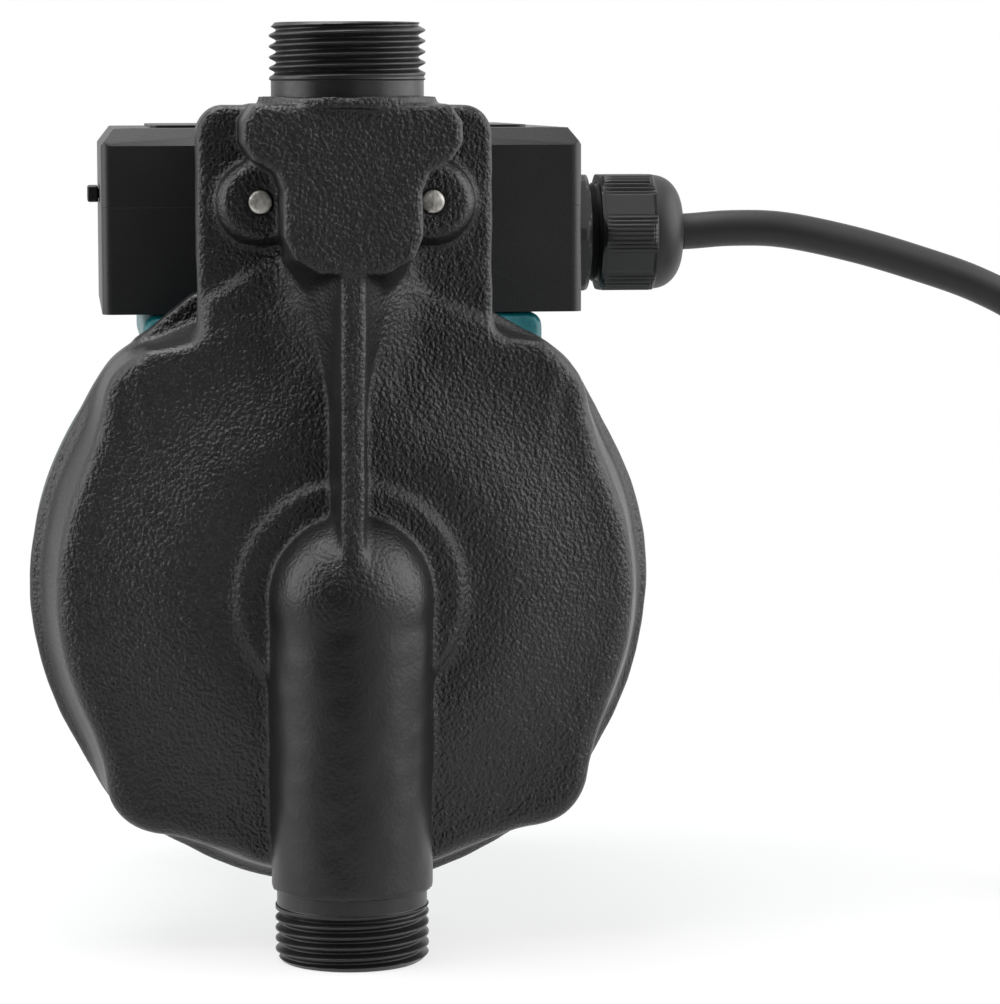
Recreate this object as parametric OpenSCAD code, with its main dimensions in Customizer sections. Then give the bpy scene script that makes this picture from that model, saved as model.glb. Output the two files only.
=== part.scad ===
// In-line circulation pump: a cast head with two coaxial threaded ports, a canned wet-rotor motor,
// a flow flap in the outlet, a terminal box with a cable gland, and a coiled supply cord.
// Z runs up along the port axis from the inlet end face, Y runs back along the motor shaft.

/* [Ports] */
// Distance between the two port end faces
port_span = 160; // [150:1:170]
// Outside diameter of the port threads
thread_d = 26.4; // [25:0.1:27.4]
// Length of each thread, end chamfer included
thread_l = 9.6; // [8:0.1:10.5]
// Length of the plain collar behind each thread
collar_l = 2.9; // [2:0.1:3.5]
// Diameter of that collar
collar_d = 25.8; // [25:0.1:26.2]
// Depth of the chamfer at each port end
port_chamfer = 0.9; // [0.5:0.1:1.4]
// Diameter of the step between the outlet collar and the neck
step_d = 30.2; // [28:0.1:32]
// Outside diameter of the suction pipe
pipe_d = 27.6; // [27:0.1:27.8]
// Bore of the suction pipe
bore_d = 16; // [14:0.5:17]
// Bore of the outlet, which holds the flow flap
outlet_bore_d = 19; // [18:0.1:19.6]
// Radius of the round back of the suction elbow
elbow_r = 14; // [14:0.1:15]

/* [Pump head] */
// Diameter of the head's front face
face_d = 99.4; // [97:0.1:101]
// Diameter of the flange ring
flange_d = 109; // [107:0.5:111]
// Thickness of the flange ring
flange_t = 7; // [5:0.5:8]
// Distance from the port axis back to the outer front face
face_set = 5; // [4:0.1:6]
// Distance from the port axis back to the raised middle of the front
plateau_set = 0; // [-0.5:0.1:1]
// Distance from the port axis back to the joint with the motor
joint_set = 29; // [28:0.5:31]
// Distance from the rim of the joint's recess to the middle of each bolt
bolt_edge = 4.462; // [4.3:0.1:5]
// Radius of each bolt lug
lug_r = 9; // [8:0.1:10]
// Width of the neck plate
neck_w = 50.8; // [48:0.2:54]
// Distance from the port axis back to the neck plate
neck_set = 6.5; // [5.5:0.1:7.5]
// Thickness of the neck plate
neck_t = 7.5; // [6:0.5:9]
// Corner radius of the neck plate
neck_corner_r = 5; // [3:0.5:7]
// Distance from the port axis forward to the outlet block's face
block_reach = 13.5; // [12.5:0.1:15]
// Width of the outlet block's head
block_w = 36; // [34:0.5:38]
// Width of the outlet block's stem
stem_w = 22.6; // [21:0.2:25]
// Thickness of the rib's crest
rib_t = 3; // [2:0.1:4]
// Radius of each screw pad on the neck
pad_r = 7.7; // [7:0.1:8.5]
// Distance from the port axis to each screw pad
pad_pitch = 14.7; // [14:0.1:16]
// Radius of the raised ring round the elbow
boss_r = 20; // [18:0.5:23]

/* [Hydraulics] */
// Diameter of the impeller
impeller_d = 62; // [56:1:64]
// Number of impeller blades
blade_count = 6; // [4:1:8]
// Width of the blade passage
blade_h = 4.2; // [3:0.1:4.8]
// Gap between the impeller and the start of the spiral casing
volute_gap = 2; // [1.5:0.1:3]
// Growth of the spiral casing's radius from its start to the throat
volute_growth = 6.5; // [5:0.1:6.5]
// Width of the spiral casing along the shaft
volute_h = 9.5; // [9:0.1:10.5]
// Bore of the throat that leads up to the outlet
throat_d = 12; // [10:0.5:13]
// Opening angle of the flow flap, degrees
flap_open = 60; // [40:1:62]

/* [Motor] */
// Outside diameter of the motor drum
drum_d = 83; // [80:0.5:83]
// Length of the motor drum behind its flange
drum_l = 77; // [72:1:90]
// Wall of the motor drum
drum_wall = 3.6; // [3:0.1:4]
// Thickness of the motor flange
motor_flange_t = 6.5; // [5:0.5:8]
// Room in the drum for the end turns and bearings, at both ends of the stator core together
end_room = 35; // [33:1:45]
// Depth of the stator core from its outside to its bore
core_depth = 15.1; // [13:0.1:17]
// Gap between the rotor and its can, filled with water
water_gap = 0.4; // [0.3:0.1:0.8]
// Diameter of the shaft
shaft_d = 10; // [8:0.5:11]
// Number of stator slots
slot_count = 12; // [6:6:24]
// Height of the table under the terminal box above the drum
table_rise = 4.8; // [3:0.1:8]

/* [Terminal box] */
// Width of the terminal box
box_w = 86; // [82:1:96]
// Depth of the terminal box along the shaft
box_d = 72; // [68:1:80]
// Height of the box base
base_h = 19; // [17:0.5:20]
// Height of the cover, top panel left out
cover_h = 14; // [12:0.5:18]
// Wall of the box
box_wall = 2.2; // [1.8:0.1:2.8]
// Sideways set of the box from the motor axis
box_shift = 1.8; // [0:0.1:2.5]
// Width of the sensor nose that reaches the neck plate
nose_w = 44; // [40:1:46]
// Travel of the selector knob to either side
knob_travel = 4; // [2:0.5:5]

/* [Cable gland and cord] */
// Width across flats of the gland
gland_af = 21.6; // [20:0.2:23]
// Diameter of the gland's thread
gland_thread_d = 18; // [15:0.5:18.4]
// Length of the gland nut, dome included
gland_nut_l = 16.4; // [14:0.2:18]
// Diameter of the cord
cord_d = 6.8; // [6:0.1:7]
// Diameter of the plug's face
plug_d = 32; // [28:1:34]
// Length of the plug's pins
pin_l = 19; // [15:1:20]

/* [Hidden] */
$fn = 64;

// Clearance of a running fit, on the radius
run_gap = 0.05;
// Clearance of a seated piece, all round
seat_gap = 0.05;
// Overrun of every cut past the face that it opens
over = 1;
// Small bury that makes two shapes of one piece share volume
bury = 0.4;

port_r = thread_d / 2;
pipe_r = pipe_d / 2;
bore_r = bore_d / 2;
bore_bend_r = bore_r + 0.3;
// How far the straight pipes run on past the middle of the elbow
pipe_over = 1.3;
bore_over = 0.9;
stub_start = -0.9;
// Turn that keeps the seams of round shapes off the flat faces they cross
seam_turn = 45;
outlet_bore_r = outlet_bore_d / 2;
face_r = face_d / 2;
flange_r = flange_d / 2;

// Front of the head: rounded edge, raised middle and the ring round the elbow
edge_r = 1.5;
dome_in_r = 32;
dome_out_r = 42;
boss_rise = 1.5;
boss_bevel = 2.2;
recess_lip = 2;
impeller_r = impeller_d / 2;
volute_start_r = impeller_r + volute_gap;
volute_end_r = volute_start_r + volute_growth;
flank_r = 53;
flank_end = joint_set - flange_t;
bump_lead = 2;

// Neck: its top, the shoulders that run into the face and the outlet block
step_h = 1.5;
neck_top = port_span - thread_l - collar_l - step_h;
pad_below = 16.2;
pad_over_seam = 1.8;
pad_h = neck_top - pad_below;
seam_h = pad_h - pad_over_seam;
table_top = seam_h - base_h;
// Height of the motor axis above the inlet end face
axis_h = table_top - table_rise - drum_d / 2;
neck_foot = axis_h + face_r / 2;
neck_back = neck_set + neck_t;
shoulder_w = 48.6;
shoulder_foot = axis_h + 0.75 * face_r;
shoulder_low_set = 36.5;
shoulder_top_set = 27;
shoulder_low = neck_top - shoulder_low_set;
shoulder_top = neck_top - shoulder_top_set;
shoulder_top_w = 24;
shoulder_set = face_set - edge_r;

block_h_all = 27.9;
block_low = neck_top - block_h_all;
block_corner_r = 6;
head_corner_r = 3;
block_head_h = 9;
block_taper_h = 5;
rib_reach = 12.3;
rib_over_axis = 5;
rib_low = axis_h + rib_over_axis;
pad_face = 2.6;
pad_bevel = 1.6;

// Screws through the neck and the bolts of the joint
neck_screw_r = 2;
neck_screw_proud = 0.4;
screw_head_r = 3.6;
screw_head_h = 2.6;
bolt_r = 2.5;
bolt_deep = 12;
bolt_head_r = 4.25;
bolt_head_h = 5;
bolt_key_af = 4;
bolt_key_deep = 2.6;
bolt_head_gap = 0.2;
// Lugs stand clear of both the recess and the drum, the same distance across and up from the axis
bolt_circle_r = max(volute_end_r + recess_lip + bolt_edge, drum_d / 2 + bolt_head_r + bolt_head_gap);
lug_pitch = bolt_circle_r * cos(45);
lug_half = lug_pitch + lug_r;

// Hydraulic stack along the shaft, from the front
cavity_front = 12;
cavity_back = cavity_front + volute_h;
recess_r = volute_end_r + recess_lip;
ring_seat_set = 9.5;
ring_seat_r = 12;
eye_r = bore_r + 0.6;
eye_wall = 1.4;
eye_gap = 0.3;
shroud_t = 1.2;
shroud_gap = 0.6;
shroud_front = cavity_front + shroud_gap;
blade_front = shroud_front + shroud_t;
blade_back = blade_front + blade_h;
back_t = 1.4;
impeller_back = blade_back + back_t;
blade_t = 1.4;
blade_in_r = eye_r + 1.6;
blade_arc_r = 0.72 * impeller_r;
blade_arc_set = 0.62 * impeller_r;
hub_r = 7.4;
throat_r = throat_d / 2;
throat_wall = 3;
throat_foot_set = 15;
throat_foot_share = 0.82;
throat_foot_h = axis_h + throat_foot_share * volute_end_r;
// Seat of the flow flap in the outlet, which the throat runs up into
seat_depth = 32;
seat_low = port_span - seat_depth;
seat_plate_t = 2;
throat_top_h = seat_low + seat_plate_t;
throat_wall_drop = 10;
throat_wall_top = throat_top_h - throat_wall_drop;

// Gasket, bearing plate and can between the head and the motor
gasket_t = 1;
plate_t = 2;
plate_front = cavity_back + gasket_t;
plate_back = plate_front + plate_t;
plate_r = recess_r - seat_gap;
bearing_r = 8;
bearing_l = 8;
bearing_hub_r = 10.5;
can_t = 0.6;
can_flange_t = 0.8;
drum_r = drum_d / 2;
drum_bore_r = drum_r - drum_wall;
stator_gap = 0.15;
stator_r = drum_bore_r - seat_gap;
stator_bore_r = stator_r - core_depth;
can_r = stator_bore_r - stator_gap;
rotor_r = can_r - can_t - water_gap;
can_flange_back = plate_back + can_flange_t;

// Motor, along the shaft
motor_front = joint_set;
motor_flange_back = motor_front + motor_flange_t;
drum_back = motor_flange_back + drum_l;
drum_edge_r = 7;
back_wall = 4.5;
stack_set = 6;
stack_front = motor_flange_back + stack_set;
stack_l = drum_l - end_room;
stack_back = stack_front + stack_l;
yoke_share = 0.28;
tooth_lip = 1.6;
slot_share = 0.55;
end_turn_l = 7.5;
winding_gap = 0.3;
shaft_r = shaft_d / 2;
shaft_front = 9.8;
rear_cup_set = 3;
rear_cup_front = stack_back + end_turn_l + rear_cup_set;
rear_cup_back = rear_cup_front + bearing_l;
cup_t = 1;
shaft_short = 1;
shaft_back = rear_cup_back - shaft_short;
vent_r = 7;
vent_head_r = 9.5;
vent_head_t = 2.4;
vent_slot_w = 1.6;
vent_boss_r = 13;
vent_boss_h = 1.5;
vent_seal_t = 1.4;
cap_r = 9;
washer_t = 1.2;
table_t = 8;
box_set = 1.5;
box_front = motor_flange_back + box_set;
table_front = box_front;
table_short = 6;
table_l = box_d - table_short;
table_side = 7.2;
table_w = box_w - 2 * table_side;
table_corner_r = 3;
gusset_t = 4;
gusset_w = 58;
gusset_h = 14;
lead_hole_r = 6;
lead_hole_set = 15;
lead_hole_y = box_front + lead_hole_set;
grommet_lip = 1.5;
grommet_r = 4;

// Terminal box
box_low = table_top;
box_back = box_front + box_d;
box_mid = box_front + box_d / 2;
box_corner_r = 2;
cover_top = seam_h + cover_h;
bevel_h = 3.1;
bevel_w = 2.4;
panel_h = 0.5;
panel_inset = 9;
post_r = 3.6;
post_inset = 6.5;
cover_screw_r = 1.6;
cover_head_r = 3;
cover_head_h = 2.2;
cover_screw_l = 22;
gasket_h = 0.8;
gasket_w = 1.2;
box_screw_r = 2;
box_screw_l = 7;
nose_h = 20;
nose_over_pad = 0.6;
nose_low = pad_h + nose_over_pad - nose_h / 2;
nose_gap = 0.2;
left_wall = box_shift - box_w / 2;
right_wall = box_shift + box_w / 2;

// Parts inside the box
block_l = 34;
block_d = 14;
block_h = 11;
terminal_hole_r = 2;
terminal_count = 3;
capacitor_r = 10;
capacitor_l = 44;
capacitor_side = 20;
capacitor_back = 14;
capacitor_x = left_wall + capacitor_side;
capacitor_y = box_back - capacitor_back;
board_l = 18;
board_d = 36;
board_side = 15.2;
board_set = 11;
board_x = left_wall + board_side;
board_y = box_front + board_set;
board_t = 1.6;
board_h = 8;
relay_l = 14;
relay_w = 16;
relay_h = 10;
standoff_r = 2.5;

// Selector switch in the left wall, just above the seam
knob_l = 9;
knob_h = 3;
knob_proud = 2.2;
knob_gap = 0.2;
knob_y = box_mid;
switch_l = 24;
switch_w = 8;
switch_h = 8;
stem_l = 4;

// Flow flap and its seat in the outlet
seat_h = 20;
seat_wall = 1.25;
seat_hole_r = 5.2;
seat_hole_y = -1;
pin_r = 0.8;
pin_y = 5.5;
barrel_r = 1.6;
barrel_half = 3.4;
flap_gap = 0.15;
flap_t = 1.3;
flap_r = 6.4;
pin_h = seat_low + seat_plate_t + flap_gap + barrel_r;
magnet_r = 1.8;
magnet_h = 2.6;
magnet_y = 0.6;
reed_r = 1.3;
reed_l = 16;
reed_rise = 4.65;
reed_h = pin_h + reed_rise;

// Cable gland, along X from the right wall
gland_y = box_mid;
gland_rise = 13;
gland_z = box_low + gland_rise;
gland_hex_t = 6;
gland_neck_l = 1.3;
gland_lip = 1.3;
gland_r = gland_af / 2 / cos(180 / 6);
gland_thread_r = gland_thread_d / 2;
gland_hex_end = right_wall + gland_hex_t;
gland_nut_start = gland_hex_end + gland_neck_l;
gland_end = gland_nut_start + gland_nut_l;
dome_l = 6;
dome_end_r = 4.6;
gland_bore_r = 5.4;
nut_bore_r = 9.4;
nut_bore_l = 12.4;
seal_l = 9;
locknut_t = 4;
locknut_af = 21;
gland_tail_l = 9;
tab_w = 24;
tab_h = 11.5;

// Cord, its coil and plug
cord_r = cord_d / 2;
lead_in_l = 38;
cord_sides = 8;
// Coil of cord beside the pump, its middle and its turns
coil_x = 184;
coil_y = 20;
coil_in_r = 25.5;
coil_pitch = 7.4;
coil_rise = 7.3;
coil_back_turn = 3;
coil_end_turn = 5;
coil_sides = 6;
rings_per_turn = 24;
coil_out_r = coil_in_r + coil_pitch * coil_back_turn;
coil_end_r = coil_in_r + coil_pitch * (coil_end_turn - coil_back_turn);
coil_top = cord_r + coil_rise;
plug_x = 174;
plug_y = -16;
plug_z = 19.3;
plug_tilt = 12.6;
plug_relief_l = 16;
plug_relief_r = 4.8;
plug_grip_l = 20;
plug_grip_r = 8;
plug_face_l = 14;
plug_l = plug_relief_l + plug_grip_l + plug_face_l;
plug_pin_r = 2.4;
plug_pin_pitch = 19;
plug_pin_deep = 6;
// Free stretch from the gland down to the coil, points along its middle
cord_route = [
    [gland_end, gland_y, gland_z], [78, 73, 122.6], [88, 73, 122.2], [101, 73, 119.5],
    [113, 73, 116], [125, 73, 111.8], [135, 73, 106.5], [143, 73, 99], [148.5, 72.5, 89.5],
    [151, 72, 78], [151, 71, 66], [149, 69, 54], [146, 66, 42], [143, 60.5, 30.5],
    [140, 53, 20], [138, 43.5, 11.5], [136.8, 33, 5.6], [coil_x - coil_out_r, 26.8, cord_r]
];
// Short stretch from the coil up into the plug
lead_route = [
    [coil_x - coil_end_r, coil_y - cord_d, coil_top], [143.5, 5, 11.2], [146, -2.5, 12.4],
    [150.5, -9, 13.9], [157, -13.5, 15.6], [165, -15.5, 17.3], [plug_x, plug_y, plug_z]
];

black = [0.1, 0.1, 0.11];
satin_black = [0.13, 0.13, 0.14];
teal = [0.09, 0.33, 0.34];
steel = [0.7, 0.71, 0.72];
brass = [0.72, 0.55, 0.25];
copper = [0.65, 0.33, 0.16];
white = [0.88, 0.88, 0.85];
rubber = [0.06, 0.06, 0.065];
graphite = [0.22, 0.22, 0.24];
green = [0.1, 0.35, 0.2];

// An outline drawn in X and Z, given depth from y0 back to y1
module slab(y0, y1) {
    translate([0, y1, 0])
        rotate([90, 0, 0])
            linear_extrude(y1 - y0)
                children();
}

// A round bar along Y
module bar_y(x, z, y0, y1, r) {
    translate([x, y0, z])
        rotate([-90, 0, 0])
            cylinder(r = r, h = y1 - y0);
}

// A round bar along X
module bar_x(y, z, x0, x1, r) {
    translate([x0, y, z])
        rotate([0, 90, 0])
            cylinder(r = r, h = x1 - x0);
}

// A profile of radius and distance along Y, turned about the motor axis
module turned() {
    translate([0, 0, axis_h])
        rotate([-90, 0, 0])
            rotate_extrude()
                children();
}

// A ring about the motor axis
module ring_y(y0, y1, r_in, r_out) {
    turned()
        translate([r_in, y0])
            square([r_out - r_in, y1 - y0]);
}

// A rectangle with round corners, centred on its width
module round_rect(w, h, r) {
    translate([-w / 2 + r, 0])
        square([w - 2 * r, h]);
    translate([-w / 2, r])
        square([w, h - 2 * r]);
    for (x = [-1, 1], y = [0, 1])
        translate([x * (w / 2 - r), r + y * (h - 2 * r)])
            circle(r);
}

// The box's plan shape, grown or shrunk by a set amount
module box_plan(grow) {
    translate([box_shift, box_front - grow])
        round_rect(box_w + 2 * grow, box_d + 2 * grow, box_corner_r);
}

// Places of the four joint bolts, as signs of X and Z
lug_signs = [[-1, -1], [-1, 1], [1, -1], [1, 1]];

// Four lugs round the motor axis, joined into a rounded square
module lug_outline() {
    translate([0, axis_h - lug_half])
        round_rect(2 * lug_half, 2 * lug_half, lug_r);
}

// The outlet block: a wide head, a tapered shoulder and a round-ended stem
module block_outline() {
    head_low = neck_top - block_head_h;
    translate([0, head_low])
        round_rect(block_w, block_head_h, head_corner_r);
    translate([0, block_low])
        round_rect(stem_w, head_low - block_low + head_corner_r, block_corner_r);
    polygon([
        [-stem_w / 2, head_low - block_taper_h], [stem_w / 2, head_low - block_taper_h],
        [block_w / 2 - head_corner_r, head_low + bury], [head_corner_r - block_w / 2, head_low + bury]
    ]);
}

// The shoulders that carry the neck's load into the round face
module shoulder_outline() {
    polygon([
        [-shoulder_w / 2, shoulder_foot], [shoulder_w / 2, shoulder_foot],
        [shoulder_w / 2, shoulder_low], [shoulder_top_w / 2, shoulder_top],
        [-shoulder_top_w / 2, shoulder_top], [-shoulder_w / 2, shoulder_low]
    ]);
}

// A cast bump on the flange ring, up at the left, in shares of the ring's radius
flange_bump_shares = [
    [-0.404, 0.954], [-0.477, 0.925], [-0.55, 0.866], [-0.651, 0.78], [-0.55, 0.697], [-0.367, 0.826]
];

// Solid of revolution of the head: raised middle, face, flank and flange ring
module head_disc() {
    turned()
        polygon([
            [0, plateau_set], [dome_in_r, plateau_set], [dome_out_r, face_set],
            [face_r - edge_r, face_set], [face_r, face_set + edge_r], [flank_r, flank_end],
            [flange_r, flank_end], [flange_r, joint_set], [0, joint_set]
        ]);
    turned()
        polygon([
            [0, plateau_set + bury], [0, plateau_set - boss_rise],
            [boss_r - boss_bevel, plateau_set - boss_rise], [boss_r, plateau_set + bury]
        ]);
}

// One threaded port end at the origin, pointing down, with its chamfer
module port_end() {
    rotate_extrude()
        polygon([
            [0, 0], [port_r - port_chamfer, 0], [port_r, port_chamfer],
            [port_r, thread_l], [collar_d / 2, thread_l],
            [collar_d / 2, thread_l + collar_l + bury], [0, thread_l + collar_l + bury]
        ]);
}

// The slanted throat from the spiral casing up to the outlet bore
module throat(r, longer, top) {
    run = throat_top_h - throat_foot_h;
    lean = atan(throat_foot_set / run);
    translate([0, throat_foot_set, throat_foot_h])
        rotate([lean, 0, 0])
            translate([0, 0, -longer])
                cylinder(r = r, h = (top - throat_foot_h) / cos(lean) + longer);
}

// The spiral casing's outline about the motor axis, widest at the throat
module volute_outline() {
    step = 15;
    polygon([
        for (a = [0 : step : 360 - step])
            let (r = volute_start_r + (volute_end_r - volute_start_r) * a / 360)
                [r * sin(a), axis_h + r * cos(a)]
    ]);
}

module pump_housing() {
    color(black)
        difference() {
            union() {
                head_disc();
                slab(face_set, joint_set)
                    lug_outline();
                slab(flank_end - bump_lead, joint_set)
                    translate([0, axis_h])
                        polygon(flange_bump_shares * flange_r);
                slab(shoulder_set, neck_back)
                    shoulder_outline();
                slab(neck_set, neck_back)
                    translate([0, neck_foot])
                        round_rect(neck_w, neck_top - neck_foot, neck_corner_r);
                slab(-block_reach, neck_back - bury)
                    block_outline();
                throat(throat_r + throat_wall, 0, throat_wall_top);
                // Rib from the outlet block down to the elbow
                slab(-rib_reach, neck_set)
                    translate([-rib_t / 2, rib_low])
                        square([rib_t, block_low + block_corner_r - rib_low]);
                // Suction pipe and its round elbow
                port_end();
                translate([0, 0, thread_l + collar_l])
                    rotate(seam_turn)
                        cylinder(r = pipe_r, h = axis_h + pipe_over - thread_l - collar_l);
                translate([0, 0, axis_h])
                    rotate(seam_turn)
                        sphere(elbow_r);
                bar_y(0, axis_h, stub_start, face_set + bury, pipe_r);
                // Outlet
                translate([0, 0, port_span])
                    mirror([0, 0, 1])
                        port_end();
                translate([0, 0, neck_top - bury])
                    cylinder(r = step_d / 2, h = bury + step_h);
                for (side = [-1, 1])
                    screw_pad(side);
            }
            // Suction way
            translate([0, 0, -over])
                cylinder(r = bore_r, h = axis_h + bore_over + over);
            translate([0, 0, axis_h])
                sphere(bore_bend_r);
            bar_y(0, axis_h, stub_start, cavity_front + bury, bore_r);
            bar_y(0, axis_h, ring_seat_set, cavity_front + bury, ring_seat_r);
            // Spiral casing, its open back and the way up to the outlet
            slab(cavity_front, cavity_back + bury)
                volute_outline();
            bar_y(0, axis_h, cavity_back, joint_set + over, recess_r);
            throat(throat_r, 0, throat_top_h);
            translate([0, 0, seat_low])
                cylinder(r = outlet_bore_r, h = port_span - seat_low + over);
            // Screw and bolt holes
            for (side = [-1, 1])
                bar_y(side * pad_pitch, pad_h, pad_face - over, neck_back + over, neck_screw_r + seat_gap);
            for (s = lug_signs)
                bar_y(
                    s[0] * lug_pitch, axis_h + s[1] * lug_pitch,
                    joint_set - bolt_deep, joint_set + over, bolt_r + seat_gap
                );
        }
}

// A raised pad round one screw of the neck plate
module screw_pad(side) {
    translate([side * pad_pitch, 0, pad_h])
        rotate([-90, 0, 0])
            rotate_extrude()
                polygon([
                    [0, pad_face], [pad_r - pad_bevel, pad_face], [pad_r, pad_face + pad_bevel],
                    [pad_r, neck_set + bury], [0, neck_set + bury]
                ]);
}

module wear_ring() {
    color(steel)
        ring_y(ring_seat_set + seat_gap, cavity_front, eye_r + eye_wall + eye_gap, ring_seat_r - seat_gap);
}

module housing_gasket() {
    color(rubber)
        ring_y(cavity_back, plate_front, volute_end_r + seat_gap, recess_r - seat_gap);
}

module bearing_plate() {
    color(steel)
        turned()
            difference() {
                union() {
                    translate([0, plate_front])
                        square([plate_r, plate_t]);
                    translate([0, plate_front])
                        square([bearing_hub_r, bearing_l + plate_t]);
                }
                translate([0, plate_front - over])
                    square([shaft_r + eye_gap, plate_t + over]);
                translate([0, plate_back - bury])
                    square([bearing_r + seat_gap, bearing_l + over]);
            }
}

module flange_bolts() {
    color(steel)
        for (s = lug_signs)
            translate([s[0] * lug_pitch, 0, axis_h + s[1] * lug_pitch])
                difference() {
                    union() {
                        bar_y(0, 0, joint_set - bolt_deep + over, motor_flange_back + bury, bolt_r);
                        bar_y(0, 0, motor_flange_back, motor_flange_back + bolt_head_h, bolt_head_r);
                    }
                    translate([0, motor_flange_back + bolt_head_h + over, 0])
                        rotate([90, 0, 0])
                            cylinder(r = bolt_key_af / 2 / cos(180 / 6), h = bolt_key_deep + over, $fn = 6);
                }
}

// The table under the terminal box, with its gussets
module box_table() {
    intersection() {
        translate([box_shift, 0, table_top - table_t])
            slab(table_front, table_front + table_l)
                round_rect(table_w, table_t, table_corner_r);
        translate([box_shift, table_front, 0])
            linear_extrude(table_top)
                round_rect(table_w, table_l, table_corner_r);
    }
    for (y = [table_front + bolt_head_h + gusset_t, table_front + table_l - 2 * gusset_t])
        translate([box_shift - gusset_w / 2, y, table_top - table_t - gusset_h])
            cube([gusset_w, gusset_t, gusset_h + bury]);
}

module motor_housing() {
    color(teal)
        difference() {
            union() {
                turned()
                    polygon([
                        [0, can_flange_back], [recess_r - seat_gap, can_flange_back],
                        [recess_r - seat_gap, motor_front], [flange_r, motor_front],
                        [flange_r, motor_flange_back], [drum_r, motor_flange_back],
                        [drum_r, drum_back - drum_edge_r],
                        for (a = [15 : 15 : 90])
                            [
                                drum_r - drum_edge_r * (1 - cos(a)),
                                drum_back - drum_edge_r * (1 - sin(a))
                            ],
                        [vent_boss_r, drum_back], [vent_boss_r, drum_back + vent_boss_h],
                        [0, drum_back + vent_boss_h]
                    ]);
                slab(motor_front, motor_flange_back)
                    lug_outline();
                box_table();
            }
            bar_y(0, axis_h, can_flange_back - over, drum_back - back_wall, drum_bore_r);
            bar_y(0, axis_h, drum_back - back_wall - over, drum_back + vent_boss_h + over, vent_r + seat_gap);
            for (s = lug_signs)
                bar_y(
                    s[0] * lug_pitch, axis_h + s[1] * lug_pitch,
                    motor_front - over, motor_flange_back + over, bolt_r + seat_gap
                );
            // Way for the stator leads and holes for the box screws
            translate([0, lead_hole_y, axis_h])
                cylinder(r = lead_hole_r, h = table_top - axis_h + over);
            for (x = [-1, 1], y = [0, 1])
                translate([box_screw_x(x), box_screw_y(y), table_top - box_screw_l])
                    cylinder(r = box_screw_r + seat_gap, h = box_screw_l + over);
        }
}

function box_screw_x(side) = box_shift + side * (table_w / 2 - 3 * table_corner_r);
function box_screw_y(far) = table_front + 2 * table_corner_r + far * (table_l - 4 * table_corner_r);

module stator_core() {
    depth = stator_r - stator_bore_r;
    slot_in = stator_bore_r + tooth_lip;
    slot_out = stator_r - yoke_share * depth;
    slot_w = slot_share * 2 * PI * slot_in / slot_count;
    color(steel)
        translate([0, stack_back, axis_h])
            rotate([90, 0, 0])
                linear_extrude(stack_l)
                    difference() {
                        circle(stator_r);
                        circle(stator_bore_r);
                        for (i = [0 : slot_count - 1])
                            rotate(i * 360 / slot_count)
                                translate([slot_in, -slot_w / 2])
                                    square([slot_out - slot_in, slot_w]);
                    }
}

// Copper in the slots, joined by an end turn at each side of the core
module stator_windings() {
    depth = stator_r - stator_bore_r;
    slot_in = stator_bore_r + tooth_lip + winding_gap;
    slot_out = stator_r - yoke_share * depth - winding_gap;
    bar_w = slot_share * 2 * PI * (stator_bore_r + tooth_lip) / slot_count - 2 * winding_gap;
    color(copper) {
        translate([0, stack_back + end_turn_l - bury, axis_h])
            rotate([90, 0, 0])
                linear_extrude(stack_l + 2 * end_turn_l - 2 * bury)
                    for (i = [0 : slot_count - 1])
                        rotate(i * 360 / slot_count)
                            translate([slot_in, -bar_w / 2])
                                square([slot_out - slot_in, bar_w]);
        ring_y(stack_front - end_turn_l, stack_front - winding_gap, slot_in, slot_out);
        ring_y(stack_back + winding_gap, stack_back + end_turn_l, slot_in, slot_out);
    }
}

// Thin steel can that keeps the water in the rotor's side of the motor
module rotor_can() {
    color(steel)
        turned()
            difference() {
                union() {
                    translate([0, plate_back])
                        square([plate_r, can_flange_t]);
                    translate([0, plate_back])
                        square([can_r, rear_cup_front - plate_back]);
                    translate([0, rear_cup_front - cup_t])
                        square([bearing_r + cup_t, bearing_l + 2 * cup_t]);
                }
                translate([0, plate_back - over])
                    square([can_r - can_t, rear_cup_front - cup_t - plate_back + over]);
                translate([0, rear_cup_front - 2 * cup_t])
                    square([bearing_r + seat_gap, bearing_l + 2 * cup_t + seat_gap]);
                translate([0, rear_cup_back])
                    square([shaft_r + cup_t, 2 * cup_t + over]);
            }
}

module front_bearing() {
    color(graphite)
        ring_y(plate_back, plate_back + bearing_l, shaft_r + run_gap, bearing_r);
}

module rear_bearing() {
    color(graphite)
        ring_y(rear_cup_front, rear_cup_back, shaft_r + run_gap, bearing_r);
}

module thrust_washer() {
    washer_front = plate_back + bearing_l + 2 * run_gap;
    color(white)
        ring_y(washer_front, washer_front + washer_t, shaft_r + seat_gap, bearing_r);
}

module shaft() {
    color(white)
        bar_y(0, axis_h, shaft_front, shaft_back, shaft_r);
}

module rotor_core() {
    color(steel)
        turned()
            difference() {
                union() {
                    translate([shaft_r, stack_front])
                        square([rotor_r - shaft_r, stack_l]);
                    translate([shaft_r, stack_front - cup_t])
                        square([rotor_r * 0.8 - shaft_r, stack_l + 2 * cup_t]);
                }
                translate([0, stack_front - 2 * cup_t])
                    square([shaft_r + seat_gap, stack_l + 4 * cup_t]);
            }
}

// One backward-curved blade, a stretch of a thin round ring
module blade_outline() {
    intersection() {
        difference() {
            circle(impeller_r - eye_gap);
            circle(blade_in_r);
        }
        translate([blade_arc_set, 0])
            difference() {
                circle(blade_arc_r + blade_t / 2);
                circle(blade_arc_r - blade_t / 2);
            }
        translate([-impeller_r, 0])
            square([2 * impeller_r, impeller_r]);
    }
}

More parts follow.
